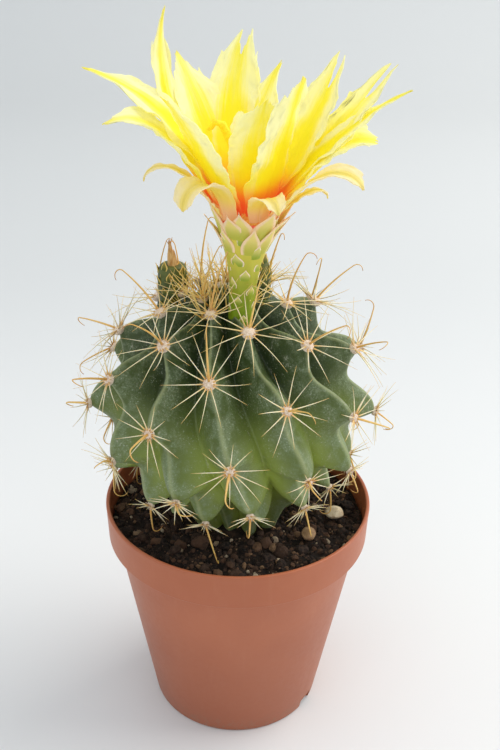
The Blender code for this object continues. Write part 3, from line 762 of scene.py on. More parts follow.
def thin_sheet(made, thickness):
    """Gives a surface its real thickness, with a crisp edge all round."""
    sheet = made.modifiers.new("thickness", "SOLIDIFY")
    sheet.thickness = thickness
    sheet.offset = 0.0
    mesh = evaluated_mesh(made)
    made.modifiers.clear()
    made.data = mesh
    mesh.set_sharp_from_angle(angle=math.radians(60))


def finish_piece(made, slot, *nodes):
    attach(made, "root")
    if nodes:
        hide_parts(*nodes)


def rounded(points, reaches):
    """An outline with its corners rounded: each corner is cut at its reach along both sides."""
    outline = []
    for number, (corner, reach) in enumerate(zip(points, reaches)):
        corner = Vector(corner)
        if not reach:
            outline.append(corner)
            continue
        before = Vector(points[number - 1])
        after = Vector(points[(number + 1) % len(points)])
        start = corner + (before - corner).normalized() * reach
        stop = corner + (after - corner).normalized() * reach
        for step in range(6):
            share = step / 5
            outline.append(start.lerp(corner, share).lerp(corner.lerp(stop, share), share))
    return outline


def vertex_ring(shape, radius, height, steps):
    return [shape.verts.new(heading(360 * n / steps) * radius + UP * height) for n in range(steps)]


def lathed(name, outline, steps):
    """A closed body of revolution from an outline of (radius, height) that starts and ends on the axis."""
    shape = bmesh.new()
    rings = []
    for radius, height in outline:
        if radius:
            rings.append(vertex_ring(shape, radius, height, steps))
        else:
            rings.append([shape.verts.new((0, 0, height))] * steps)
    for lower, upper in zip(rings, rings[1:]):
        for n in range(steps):
            corners = (lower[n], lower[(n + 1) % steps], upper[(n + 1) % steps], upper[n])
            corners = list(dict.fromkeys(corners))
            if len(corners) > 2:
                shape.faces.new(corners)
    return mesh_of(name, shape, outwards=True)


def turned(name, outline, passes, steps, material, slot, node, lean=None, foot=None, wavy=False):
    """A lathed piece from an outline in millimetres, smoothed, leaning, with its foot at a place."""
    mesh = lathed(name, [(r * MM, h * MM) for r, h in smoothed(outline, passes)], steps)
    for vert in mesh.vertices if wavy else ():
        swell = 1 + 0.025 * math.sin(8 * math.atan2(vert.co.y, vert.co.x) + vert.co.z * 420)
        vert.co = Vector((vert.co.x * swell, vert.co.y * swell, vert.co.z))
    mesh.transform(Matrix.Translation(foot) @ (lean or Matrix.Identity(3)).to_4x4())
    plain_piece(name, mesh, material, slot, node)


def wall_radius(height):
    return BASE_RADIUS + (RIM_RADIUS - COLLAR_STEP - BASE_RADIUS) / POT_HEIGHT * height


def make_pot(material):
    """A thin moulded pot with a plain collar, drain holes and two notches under its edge."""
    collar_foot = POT_HEIGHT - COLLAR_HEIGHT
    collar_radius = RIM_RADIUS - 0.35 * MM
    corners = [
        (0, 0.5 * MM), (BASE_RADIUS - 3 * MM, 0.5 * MM), (BASE_RADIUS - 2.4 * MM, 0), (BASE_RADIUS, 0),
        (wall_radius(collar_foot), collar_foot - 0.5 * MM), (collar_radius, collar_foot),
        (RIM_RADIUS - 0.1 * MM, POT_HEIGHT - 1.3 * MM), (RIM_RADIUS, POT_HEIGHT), (INNER_RIM, POT_HEIGHT),
        (INNER_RIM - 0.4 * MM, collar_foot - 0.6 * MM), (wall_radius(collar_foot) - WALL, collar_foot - 2 * MM),
        (wall_radius(FLOOR_THICKNESS) - WALL, FLOOR_THICKNESS), (0, FLOOR_THICKNESS),
    ]
    reaches = [0, 0.3, 0.2, 0.6, 0.3, 0.3, 0.25, 0.4, 0.35, 0.5, 0.5, 1.2, 0]
    outline = rounded(corners, [r * MM for r in reaches])
    holder = link("pot_blank", lathed("plant_pot", outline, 160))
    cutters = []
    for azimuth in NOTCH_AZIMUTHS:
        shape = bmesh.new()
        turn = Matrix.Rotation(math.radians(azimuth), 4, "Z")
        centre = heading(azimuth) * BASE_RADIUS
        bmesh.ops.create_cube(shape, size=1.0, matrix=Matrix.Translation(centre) @ turn)
        for vert in shape.verts:
            local = turn.inverted() @ (vert.co - centre)
            local = Vector((local.x * NOTCH_SIZE[0], local.y * NOTCH_SIZE[1], local.z * 2 * NOTCH_SIZE[2]))
            vert.co = centre + turn @ local
        bmesh.ops.bevel(shape, geom=shape.edges[:], offset=0.5 * MM, segments=3, affect="EDGES", profile=0.5)
        cutters.append(link("notch", mesh_of("notch", shape)))
    for number in range(4):
        shape = bmesh.new()
        bmesh.ops.create_cone(
            shape, cap_ends=True, segments=32, radius1=DRAIN_RADIUS, radius2=DRAIN_RADIUS, depth=6 * MM,
            matrix=Matrix.Translation(heading(45 + 90 * number) * DRAIN_RING),
        )
        cutters.append(link("drain", mesh_of("drain", shape)))
    for cutter in cutters:
        cut = holder.modifiers.new("cut", "BOOLEAN")
        cut.operation = "DIFFERENCE"
        cut.solver = "EXACT"
        cut.object = cutter
    mesh = evaluated_mesh(holder)
    for spare in (holder, *cutters):
        bpy.data.objects.remove(spare, do_unlink=True)
    plain_piece("plant_pot", mesh, material, "pot", "pot")
    mesh.set_sharp_from_angle(angle=math.radians(50))


def soil_top(radius, azimuth):
    """The height of the compost, lumpy and a little higher round the plant."""
    place = heading(azimuth) * radius
    lumps = math.sin(place.x * 620 + 1.3 * math.sin(place.y * 410)) * math.cos(place.y * 530 + place.x * 150)
    mound = 0.8 * MM * (1 - radius / (26 * MM))
    lumps = lumps + 0.5 * math.sin(place.x * 1400 + place.y * 900) * math.sin(place.y * 1250)
    return SOIL_HEIGHT + mound + 0.5 * MM * lumps


def make_soil(materials):
    steps, rings = 220, 60
    shape = bmesh.new()
    rows = []
    turns = [360 * step / steps for step in range(steps)]
    for ring in range(1, rings + 1):
        radius = SOIL_RADIUS * ring / rings
        rows.append([shape.verts.new(heading(t) * radius + UP * soil_top(radius, t)) for t in turns])
    rows.append(vertex_ring(shape, wall_radius(SOIL_SHOULDER) - WALL - 0.1 * MM, SOIL_SHOULDER, steps))
    rows.append(vertex_ring(shape, BASE_RADIUS - 2 * MM, SOIL_FOOT, steps))
    middle = shape.verts.new((0, 0, soil_top(0, 0)))
    foot = shape.verts.new((0, 0, SOIL_FOOT))
    for inner, outer in zip(rows, rows[1:]):
        for n in range(steps):
            shape.faces.new((inner[n], outer[n], outer[(n + 1) % steps], inner[(n + 1) % steps]))
    for n in range(steps):
        shape.faces.new((middle, rows[0][n], rows[0][(n + 1) % steps]))
        shape.faces.new((foot, rows[-1][(n + 1) % steps], rows[-1][n]))
    mesh = mesh_of("compost", shape, outwards=True)
    plain_piece("compost", mesh, materials["peat"], "soil", "soil")
    bed = top_only(mesh)
    crumbs = crumb_tree()
    grown(
        "compost_crumbs", "soil", [], crumbs, bed, smooth=False, Density=1900000.0, Smallest=0.16 * MM,
        Largest=0.75 * MM, Rarity=2.5, Roughness=0.4, Seed=11, Material=materials["crumb"],
    )
    grown(
        "compost_grit", "soil", [], crumbs, bed.copy(), smooth=False, Density=170000.0, Smallest=0.5 * MM,
        Largest=1.7 * MM, Rarity=2.2, Subdivisions=2, Roughness=0.42, Seed=23, Material=materials["crumb"],
    )


def top_only(mesh):
    """The faces of the compost that look up, clear of the neck and the wall."""
    shape = bmesh.new()
    shape.from_mesh(mesh)
    gone = []
    for face in shape.faces:
        centre = face.calc_center_median()
        if centre.z < SOIL_HEIGHT - 2 * MM or not 9 * MM <= centre.xy.length <= INNER_RIM - 1.2 * MM:
            gone.append(face)
    bmesh.ops.delete(shape, geom=gone, context="FACES")
    return mesh_of("bed", shape)


def make_pebbles(materials):
    """The two largest stones, each a rounded block with chipped faces."""
    for node, seed in (("pebble_cream", 3), ("pebble_tan", 8)):
        low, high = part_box(node)
        centre, half = (low + high) / 2, (high - low) / 2
        draw = random.Random(seed)
        planes = []
        for _ in range(9):
            normal = Vector([draw.uniform(-1, 1) for _ in range(3)]).normalized()
            planes.append((normal, draw.uniform(0.72, 0.93)))
        shape = bmesh.new()
        bmesh.ops.create_icosphere(shape, subdivisions=5, radius=1.0)
        for vert in shape.verts:
            for normal, depth in planes:
                over = vert.co.dot(normal) - depth
                if over > 0:
                    vert.co -= normal * over * 0.85
            vert.co = centre + Vector([c * h for c, h in zip(vert.co, half)]) * 1.05
        plain_piece(f"{node}_stone", mesh_of(node, shape), materials[node], "stones", node)


# Spines and felt

# The hooked spine of an areole: its turn from the crown (clockwise, seen from outside), its lean from
# straight out, its length and which way its hook turns from the crown.
HOOKED = {
    5: (-80, 25, 12, 100), 6: (-60, 5, 13, -60), 7: (0, 25, 18, 60), 9: (-70, 20, 16, 170), 10: (-100, 40, 15, -160),
    12: (20, 50, 12, 20), 14: (-140, 10, 13, -140), 15: (100, 20, 15, -140), 17: (150, 10, 14, -150),
    18: (-140, 45, 14, -140), 22: (-90, 30, 14, -90), 23: (90, 25, 15, 90), 25: (100, 5, 10, 160),
    28: (140, 10, 10, 140), 30: (130, 40, 9, 130), 31: (-110, 25, 8, -140), 33: (-155, 25, 8.5, 130),
    36: (40, 65, 8, -140), 38: (-40, 50, 10, 140), 41: (40, 45, 8, 100), 51: (-160, 20, 8, 140),
    54: (130, 30, 10, -170),
}
CROWN_SPINES = 58
CROWN_SPREAD = 7.0
TUFT_SPINES = 15
FELT_HAIRS = 64
# The straight spines' usual length in millimetres, by the age of their areole
SPINE_LENGTHS = (
    (0, 7.0), (8, 9.8), (13, 11.0), (17, 10.0), (21, 9.4), (26, 7.6), (33, 7.4), (38, 5.8), (44, 5.0), (57, 4.6),
)


def level_at(right, upward, turn):
    angle = math.radians(turn)
    return right * math.sin(angle) + upward * math.cos(angle)


def spine(foot, aim, towards, reach, straight, arch, curl, girth, tone):
    """One spine's row: towards is the side that it arches to."""
    bend = (towards - aim * towards.dot(aim)).normalized()
    return {
        "foot": foot, "aim": aim, "bend": bend, "reach": reach * MM, "straight": straight * MM,
        "arch": arch * MM, "curl": curl * MM, "girth": girth * MM, "tone": tone,
    }


def tilted(axis, level, angle):
    """The direction at an angle, in radians, from an axis towards a level direction."""
    return axis * math.cos(angle) + level * math.sin(angle)


def spine_length(age):
    """Longest on the shoulder, short on the oldest tubercles."""
    for (start, short), (stop, long) in zip(SPINE_LENGTHS, SPINE_LENGTHS[1:]):
        if age <= stop:
            return short + (long - short) * (age - start) / (stop - start)


def radial_spines():
    """The ring of straight spines of each areole, nearly flat, and steeper on the young ones."""
    rows = []
    for age in range(1, LAST_AREOLE + 1):
        draw = random.Random(100 + age)
        foot, right, upward, outward = areole_frame(age)
        youth = max(0.0, 1 - age / 9)
        count = 11 + draw.randrange(3)
        longest = spine_length(age)
        start = draw.uniform(0, 360)
        for number in range(count):
            turn = start + 360 * number / count + draw.uniform(-9, 9)
            level = level_at(right, upward, turn)
            crownward = 0.5 + 0.5 * level.dot(upward)
            rise = math.radians(10 + 12 * crownward + 42 * youth + draw.uniform(-6, 8))
            aim = tilted(level, outward, rise)
            reach = longest * draw.uniform(0.78, 1.04)
            towards = outward * draw.choice((-1, -1, 1)) + level_at(right, upward, draw.uniform(0, 360)) * 0.5
            place = foot + level * draw.uniform(0.35, 0.75) * MM + outward * 0.35 * MM
            tone = min(1.0, 0.75 * youth + draw.uniform(0.0, 0.35) + (0.25 if age < 14 else 0.0))
            rows.append(spine(
                place, aim, towards, reach, reach, draw.uniform(18, 60), 1.0, draw.uniform(0.105, 0.14), tone,
            ))
    return rows


def hooked_spines():
    rows = []
    for age in range(2, LAST_AREOLE + 1):
        draw = random.Random(300 + age)
        foot, right, upward, outward = areole_frame(age)
        down = min(1.0, max(0.0, (age - 18) / 16))
        turn = draw.uniform(-35, 35) + 180 * (down > draw.uniform(0.25, 0.75))
        lean = draw.uniform(28, 50) * (0.45 if age < 9 else 1.0)
        reach = draw.uniform(12, 16) * (1 - 0.42 * down)
        turn, lean, reach, hook = HOOKED.get(age, (turn, lean, reach, turn))
        aim = tilted(outward, level_at(right, upward, turn), math.radians(lean))
        towards = level_at(right, upward, hook) - outward * 0.4
        curl = draw.uniform(1.0, 1.5)
        bow = curl * math.radians(draw.uniform(120, 170))
        rows.append(spine(
            foot + outward * 0.3 * MM, aim, towards, reach, reach - bow, draw.uniform(28, 45), curl,
            draw.uniform(0.19, 0.25), draw.uniform(0.2, 0.8),
        ))
    return rows


def crown_spines():
    """Upright young spines over the growing tip, crowded round its felt."""
    draw = random.Random(5)
    rows = []
    top = STEM_CENTRE + STEM_LEAN @ (UP * (STEM_UPPER - 0.6 * MM))
    axis = STEM_LEAN @ UP
    for number in range(CROWN_SPINES):
        out = heading(number * DIVERGENCE)
        ring = math.sqrt((number + 0.5) / CROWN_SPINES) * CROWN_SPREAD
        lean = math.radians(4 + 5.5 * ring + draw.uniform(-7, 9))
        aim = tilted(axis, out, lean).normalized()
        reach = draw.uniform(5.5, 9.5)
        rows.append(spine(
            top + (out * ring - axis * 0.016 * ring * ring) * MM, aim, heading(draw.uniform(0, 360)), reach,
            reach, draw.uniform(20, 60), 1.0, draw.uniform(0.14, 0.20), draw.uniform(0.0, 0.6),
        ))
    for place in (FRUIT_CENTRE + Vector((2.6, -1.8, -3.4)) * MM, TUBE_FOOT + Vector((-6.4, 0.4, 1.0)) * MM):
        for number in range(TUFT_SPINES):
            out = heading(number * DIVERGENCE)
            aim = tilted(axis, out, math.radians(15 + 4 * number)).normalized()
            reach = draw.uniform(7.0, 10.0)
            rows.append(spine(
                place + out * 0.5 * MM, aim, out * -1, reach, reach, draw.uniform(25, 60), 1.0,
                draw.uniform(0.15, 0.21), draw.uniform(0.0, 0.6),
            ))
    return rows


def felt_rows():
    """The felt of the areoles: short curly hairs over an oval cushion."""
    hairs, cushions = [], []
    for age in range(0, LAST_AREOLE + 1):
        draw = random.Random(700 + age)
        foot, right, upward, outward = areole_frame(age)
        size = 0.35 + 0.115 * spine_length(age)
        yellow = max(0.0, 1 - age / 12)
        cushions.append({
            "foot": foot + outward * 0.05 * MM, "aim": outward,
            "size": Vector((0.86, 0.86, 0.62)) * size * MM, "tone": yellow,
        })
        for _ in range(FELT_HAIRS):
            level = level_at(right, upward, draw.uniform(0, 360))
            ring = math.sqrt(draw.random())
            lean = math.radians(75 * ring)
            aim = tilted(outward, level, lean).normalized()
            place = foot + outward * 0.45 * size * math.cos(lean) * MM + level * 0.80 * size * ring * MM
            reach = draw.uniform(0.45, 0.9)
            hairs.append(spine(
                place, aim, level_at(right, upward, draw.uniform(0, 360)), reach, reach, draw.uniform(0.5, 1.4),
                1.0, 0.05, yellow,
            ))
    return hairs, cushions


def make_spines(materials):
    tree = spine_tree()
    clusters = [f"spine_cluster_{age:02d}" for age in NODE_AREOLES]
    hairs, cushions = felt_rows()
    for name, nodes, rows, look, sides, rings, taper in (
        ("radial_spines", clusters, radial_spines(), "straw", 5, 6, 0.85),
        ("hooked_spines", clusters, hooked_spines(), "amber", 7, 26, 0.72),
        ("crown_spines_young", ["crown_spines"], crown_spines(), "golden", 5, 6, 0.85),
        ("areole_hairs", clusters, hairs, "felt", 3, 3, 0.85),
    ):
        grown(name, "spines", nodes, tree, rows, Sides=sides, Rings=rings, Taper=taper, Material=materials[look])
    grown("areole_cushions", "spines", clusters, grain_tree(), cushions, Material=materials["felt"])


# The flower

# Each petal: azimuth, foot radius, foot height over the mouth, length, lift at the foot, lift at the tip,
# how late it turns, width, sweep, roll; then its tips, how deep they split, its cup, how blunt
# it is and how wide its foot is.
PETALS = {
    "petal_01": (-115, 3.3, 1.1, 39, 43, 109, 1.4, 7.5, -6, 0, 1, 0.16, 0.12, 0.04, 0.95),
    "petal_02": (-144, 3.2, 1.1, 31, 61, 47, 1.0, 11.5, 10, 0, 1, 0.14, 0.15, 0.20, 0.35),
    "petal_03": (-96, 3.1, 0.9, 38, 68, 9, 1.3, 9.0, 11, 15, 1, 0.20, 0.18, 0.08, 0.50),
    "petal_04": (-79, 4.3, 0.6, 31, 62, -42, 2.9, 10.5, 14, 10, 1, 0.15, 0.18, 0.20, 0.40),
    "petal_05": (-54, 3.0, 1.1, 27, 63, 40, 2.8, 13.0, 4, 10, 1, 0.10, 0.20, 0.45, 0.35),
    "petal_06": (-154, 2.2, 1.4, 35, 56, 52, 1.4, 10.5, -56, 0, 2, 0.14, 0.14, 0.30, 0.50),
    "petal_07": (184, 3.3, 1.1, 28, 67, 45, 1.4, 8.5, -58, 0, 1, 0.22, 0.15, 0.12, 0.40),
    "petal_08": (39, 2.8, 1.1, 28, 75, 62, 1.4, 13.5, 6, -20, 1, 0.12, 0.20, 0.45, 0.40),
    "petal_09": (12, 2.8, 1.4, 24, 88, 50, 1.0, 9.5, 4, 0, 1, 0.12, 0.20, 0.50, 0.45),
    "petal_10": (119, 2.3, 1.4, 31, 55, 68, 1.5, 10.5, -12, -5, 2, 0.22, 0.16, 0.45, 0.32),
    "petal_11": (98, 3.2, 0.9, 34, 51, 50, 0.9, 9.5, -7, -15, 2, 0.24, 0.16, 0.45, 0.32),
    "petal_12": (92, 4.3, 0.6, 26, 62, -30, 2.2, 11.0, -4, -10, 1, 0.10, 0.20, 0.70, 0.40),
    "outer_petal_01": (-92, 4.9, 0.3, 19, 52, -105, 3.2, 3.4, 4, 0, 1, 0.10, 0.16, 0.25, 0.60),
    "outer_petal_02": (-44, 5.0, 0.3, 19, 75, -116, 1.9, 7.0, 0, 0, 1, 0.08, 0.18, 0.45, 0.60),
    "outer_petal_03": (52, 5.0, 0.3, 24, 50, -80, 3.4, 6.5, 9, -10, 1, 0.10, 0.16, 0.40, 0.50),
    "outer_petal_04": (22, 4.8, 0.3, 13, 82, -75, 1.5, 5.4, 4, 0, 1, 0.10, 0.18, 0.40, 0.60),
    "petal_13": (87, 3.6, 0.7, 34, 56, 24, 1.4, 6.5, -8, -12, 1, 0.20, 0.14, 0.10, 0.40),
    "outer_petal_05": (74, 4.9, 0.2, 13, 44, -110, 3.5, 2.6, 50, 0, 1, 0.10, 0.14, 0.20, 0.60),
    "outer_petal_06": (-75, 4.9, 0.0, 8, 62, 30, 1.6, 5.5, 0, 0, 1, 0.16, 0.14, 0.10, 0.80),
    "outer_petal_07": (100, 4.9, 0.0, 9, 58, 30, 1.6, 5.5, 0, 0, 1, 0.16, 0.14, 0.10, 0.80),
    "outer_petal_08": (150, 4.9, 0.2, 15, 62, -40, 2.4, 6.0, 0, 0, 1, 0.14, 0.14, 0.20, 0.60),
    "outer_petal_09": (-150, 4.9, 0.2, 16, 60, -50, 2.4, 6.0, 0, 0, 1, 0.14, 0.14, 0.20, 0.60),
}
LINE_STEPS = 40
NODE_PETALS = 16


def centre_line(azimuth, foot_radius, foot_height, length, lift, tip_lift, late, sweep, roll):
    """Points up the middle of a petal, each with the direction of its right-hand edge."""
    point = MOUTH + heading(azimuth) * (foot_radius * MM) + UP * (foot_height * MM)
    rows = []
    for number in range(LINE_STEPS + 1):
        share = number / LINE_STEPS
        rise = math.radians(lift + (tip_lift - lift) * share**late)
        turn = azimuth + sweep * share
        along = tilted(heading(turn), UP, rise)
        side = heading(turn + 90)
        twist = math.radians(roll) * min(1.0, share / 0.4)
        rows.append({"foot": point.copy(), "side": tilted(side, side.cross(along), twist)})
        point = point + along * (length * MM / LINE_STEPS)
    return rows


def make_petals(materials):
    tree = petal_tree()
    for number, (node, sizes) in enumerate(PETALS.items()):
        *line, width, sweep, roll, tips, split, cup, blunt, foot_width = sizes
        outer = node.startswith("outer")
        grown(
            f"{node}_blade", "outer_petals" if outer else "petals", [node] if number < NODE_PETALS else [], tree,
            point_mesh(node, centre_line(*line, sweep, roll), edges=True), sheet=0.16 * MM, Width=width * MM,
            Tips=float(tips), Split=split, Cup=cup, Bluntness=blunt, Seed=number + 0.5,
            Ruffle=(0.7 if outer else 1.5) * MM, Ragged=0.04 if outer else 0.07, Shoulder=0.45 if outer else 0.50,
            Foot_Width=foot_width, Material=materials["outer_petal" if outer else "petal"],
        )


TUBE_BRACTS = 30
SEPALS = 19
STAMENS = 90
STAMEN_ARCH = 26
STYLE_OUTLINE = [(0, 33.4), (0.5, 33.2), (0.85, 32.5), (0.6, 31.2), (0.48, 29.5), (0.45, 18.1), (0, 18.1)]
TUBE_OUTLINE = [
    (0, 17.5), (1.7, 18.0), (3.2, 20.9), (4.9, 21.4), (5.25, 20.7), (5.1, 19.4), (4.3, 16.4), (3.05, 12.6),
    (2.55, 8.7), (2.35, 4.5), (2.3, 0.6), (1.9, -0.3), (0, -0.5),
]


def side_radius(side, height):
    """The radius of a side, given as (radius, height) pairs from the bottom up, at a height."""
    for (start, low), (stop, high) in zip(side, side[1:]):
        if height <= high:
            return start + (stop - start) * max(0.0, (height - low) / (high - low))
    return side[-1][0]


def tube_radius(height):
    """The tube's outside radius at a height over its foot, in millimetres."""
    return side_radius(TUBE_OUTLINE[4:11][::-1], height)


def smoothed(outline, passes):
    """Corner cutting along an open outline, with its ends kept."""
    for _ in range(passes):
        cut = [outline[0]]
        for (r0, h0), (r1, h1) in zip(outline, outline[1:]):
            cut.append((0.75 * r0 + 0.25 * r1, 0.75 * h0 + 0.25 * h1))
            cut.append((0.25 * r0 + 0.75 * r1, 0.25 * h0 + 0.75 * h1))
        outline = cut + [outline[-1]]
    return outline


def on_tube(out, radius, height):
    """A place on the leaning tube, from millimetres off its axis and over its foot."""
    return TUBE_FOOT + TUBE_LEAN @ ((out * radius + UP * height) * MM)


def make_tube(materials):
    turned(
        "flower_tube_wall", TUBE_OUTLINE, 2, 72, materials["tube"], "tube", "flower_tube", TUBE_LEAN, TUBE_FOOT,
        wavy=True,
    )
    tree = scale_tree()
    bracts, sepals = [], []
    for number in range(TUBE_BRACTS):
        share = number / (TUBE_BRACTS - 1)
        height = 1.6 + 17.4 * share ** 0.9
        out = heading(number * DIVERGENCE + 12)
        taper = tube_radius(height + 0.5) - tube_radius(height - 0.5)
        big = share ** 1.5
        bracts.append({
            "foot": on_tube(out, tube_radius(height) - 0.08, height),
            "aim": TUBE_LEAN @ (UP + out * taper).normalized(), "bend": TUBE_LEAN @ (out - UP * taper).normalized(),
            "reach": (1.5 + 3.2 * big) * MM, "girth": (1.5 + 2.6 * big) * MM, "flare": 0.06 + 0.10 * big,
        })
    draw = random.Random(29)
    for number in range(SEPALS):
        upper = number >= SEPALS // 2
        out = heading(720 * number / SEPALS + draw.uniform(-9, 9) + 9)
        lean = 0.40 + draw.uniform(-0.04, 0.10)
        sepals.append({
            "foot": on_tube(out, *(4.9, 18.6) if upper else (3.95, 15.6)),
            "aim": TUBE_LEAN @ (UP + out * lean).normalized(), "bend": TUBE_LEAN @ (out - UP * lean).normalized(),
            "reach": (5.2 + 0.8 * upper + draw.uniform(0, 2.4)) * MM,
            "girth": (3.4 + 0.9 * upper + draw.uniform(0, 0.8)) * MM, "flare": draw.uniform(0.02, 0.16),
        })
    grown(
        "flower_tube_bracts", "tube", [], tree, bracts, sheet=0.14 * MM, Rows=9, Columns=9,
        Material=materials["tube_bract"],
    )
    grown(
        "flower_tube_sepals", "tube", [], tree, sepals, sheet=0.16 * MM, Rows=11, Columns=9, Wrap_Radius=5 * MM,
        Material=materials["sepal"],
    )


def make_heart(materials):
    """Stamens in rings round the style, with pollen on them, and the lobed stigma."""
    filaments, anthers, lobes = [], [], []
    draw = random.Random(41)
    for number in range(STAMENS):
        out = TUBE_LEAN @ heading(number * DIVERGENCE)
        ring = 1.1 + 1.5 * ((number * 0.618) % 1)
        reach = draw.uniform(7.5, 10.5)
        lean = math.radians(2 + 6 * ring + draw.uniform(-4, 4))
        aim = tilted(TUBE_LEAN @ UP, out, lean).normalized()
        foot = on_tube(out, 0, 18.5) + out * ring * MM
        row = spine(foot, aim, out * -1, reach, reach, STAMEN_ARCH, 1.0, 0.09, 0.0)
        filaments.append(row)
        angle = reach / STAMEN_ARCH
        end = aim * (STAMEN_ARCH * math.sin(angle) * MM) + row["bend"] * (STAMEN_ARCH * (1 - math.cos(angle)) * MM)
        anthers.append({
            "foot": foot + end, "aim": (aim + out * 0.4).normalized(), "size": Vector((0.28, 0.28, 0.5)) * MM,
        })
    tree = spine_tree()
    grown(
        "stamen_filaments", "pollen", ["stamens"], tree, filaments, Sides=4, Rings=5, Taper=0.3,
        Material=materials["filament"],
    )
    grown("anthers", "pollen", ["stamens"], grain_tree(), anthers, Material=materials["anther"])
    turned("style_column", STYLE_OUTLINE, 2, 24, materials["stigma"], "pollen", "style", TUBE_LEAN, TUBE_FOOT)
    for number in range(8):
        out = TUBE_LEAN @ heading(45 * number)
        foot = on_tube(out, 0, 32.0) + out * 0.3 * MM
        lobes.append(spine(foot, (UP * 0.9 + out * 0.45).normalized(), out, 3.4, 1.2, 20, 1.5, 0.34, 0.0))
    left, front = TUBE_LEAN @ heading(-90), TUBE_LEAN @ heading(0)
    for slant, forward, reach, thick in ((0.27, 0.10, 15.2, 0.85), (0.30, 0.02, 15.0, 0.75)):
        foot = on_tube(left, 0, 27.0) + left * 0.6 * MM
        aim = (UP + left * slant + front * forward).normalized()
        lobes.append(spine(foot, aim, left, reach, reach - 3.3, 60, 1.15, thick, 0.0))
    grown(
        "stigma_lobes", "pollen", ["style"], tree, lobes, Sides=8, Rings=10, Taper=0.35, Material=materials["stigma"],
    )


FRUIT_OUTLINE = [
    (0, -5.5), (1.7, -5.3), (2.5, -4.0), (2.8, -1.0), (2.95, 1.8), (2.85, 4.0), (2.3, 5.3), (1.2, 5.2), (0, 5.0),
]
BUD_OUTLINE = [(0, -6.4), (1.5, -5.9), (2.2, -3.5), (2.45, -0.5), (2.2, 2.4), (1.4, 4.8), (0.5, 6.2), (0, 6.5)]


def egg_bracts(centre, outline, count, size):
    """Small bracts set spirally on a fruit or a bud, each with its foot on the skin."""
    rows = []
    low, high = outline[1][1] + 1.2, outline[-2][1] - 0.6
    for number in range(count):
        height = low + (high - low) * number / (count - 1)
        radius = side_radius(outline[1:-1], height)
        slope = side_radius(outline[1:-1], height + 0.3) - side_radius(outline[1:-1], height - 0.3)
        out = heading(number * DIVERGENCE + 30)
        rows.append({
            "foot": centre + (out * (radius - 0.05) + UP * height) * MM,
            "aim": (UP * 0.6 + out * slope).normalized(), "bend": (out * 0.6 - UP * slope).normalized(),
            "reach": size * MM, "girth": size * 0.8 * MM, "flare": 0.22,
        })
    return rows


def make_fruit_and_bud(materials):
    tree = scale_tree()
    for name, outline, centre, count in (
        ("fruit", FRUIT_OUTLINE, FRUIT_CENTRE, 24), ("bud", BUD_OUTLINE, BUD_CENTRE, 26),
    ):
        turned(f"{name}_body", outline, 3, 48, materials["fruit"], "fruit", name, foot=centre)
        grown(
            f"{name}_bracts", "fruit", [], tree, egg_bracts(centre, outline, count, 1.9), sheet=0.12 * MM,
            Rows=7, Columns=7, Wrap_Radius=2.6 * MM, Material=materials["fruit_bract"],
        )
    foot = FRUIT_CENTRE + UP * 4.9 * MM
    rows = []
    draw = random.Random(17)
    for number in range(13):
        out = heading(number * DIVERGENCE)
        aim = (UP + out * draw.uniform(-0.06, 0.10) - Vector((0.10, 0, 0))).normalized()
        reach = draw.uniform(3.0, 6.0)
        rows.append(spine(
            foot + out * 0.65 * MM, aim, out * -1, reach, reach * 0.6, 18, 9, draw.uniform(0.28, 0.45), 0.0,
        ))
    grown(
        "dried_flower_wisp", "dried", ["fruit_dried_flower"], spine_tree(), rows, Sides=6, Rings=10, Taper=0.9,
        Material=materials["dried"],
    )


# The stage


FLOOR_FRONT, FLOOR_BACK, FLOOR_SIDE = -1.2, 0.55, 2.2
FLOOR_BEND, BACKDROP_HEIGHT = 0.35, 2.2
CAMERA_PLACE = (0, -0.17525, 0.17020)
CAMERA_PITCH, CAMERA_YAW, CAMERA_ROLL = 0.485635, -0.011371, 0.019617
CAMERA_LENS = 48.37


def make_stage(material):
    """A floor that curves up behind into a plain backdrop."""
    shape = bmesh.new()
    profile = [(FLOOR_FRONT, 0.0), (FLOOR_BACK, 0.0)]
    for step in range(1, 13):
        angle = math.radians(90 * step / 12)
        profile.append((FLOOR_BACK + FLOOR_BEND * math.sin(angle), FLOOR_BEND * (1 - math.cos(angle))))
    profile.append((FLOOR_BACK + FLOOR_BEND, BACKDROP_HEIGHT))
    rows = [[shape.verts.new((x, y, z)) for x in (-FLOOR_SIDE, FLOOR_SIDE)] for y, z in profile]
    for lower, upper in zip(rows, rows[1:]):
        shape.faces.new((lower[0], lower[1], upper[1], upper[0]))
    mesh = mesh_of("studio_floor", shape)
    mesh.materials.append(material)
    mesh.polygons.foreach_set("use_smooth", [True] * len(mesh.polygons))
    link("studio_floor", mesh)


def area_light(name, place, target, size, power, colour):
    lamp = bpy.data.lights.new(name, "AREA")
    lamp.shape = "RECTANGLE"
    lamp.size, lamp.size_y = size
    lamp.energy = power
    lamp.color = colour
    made = link(name, lamp)
    made.location = place
    made.rotation_euler = (Vector(target) - Vector(place)).to_track_quat("-Z", "Y").to_euler()


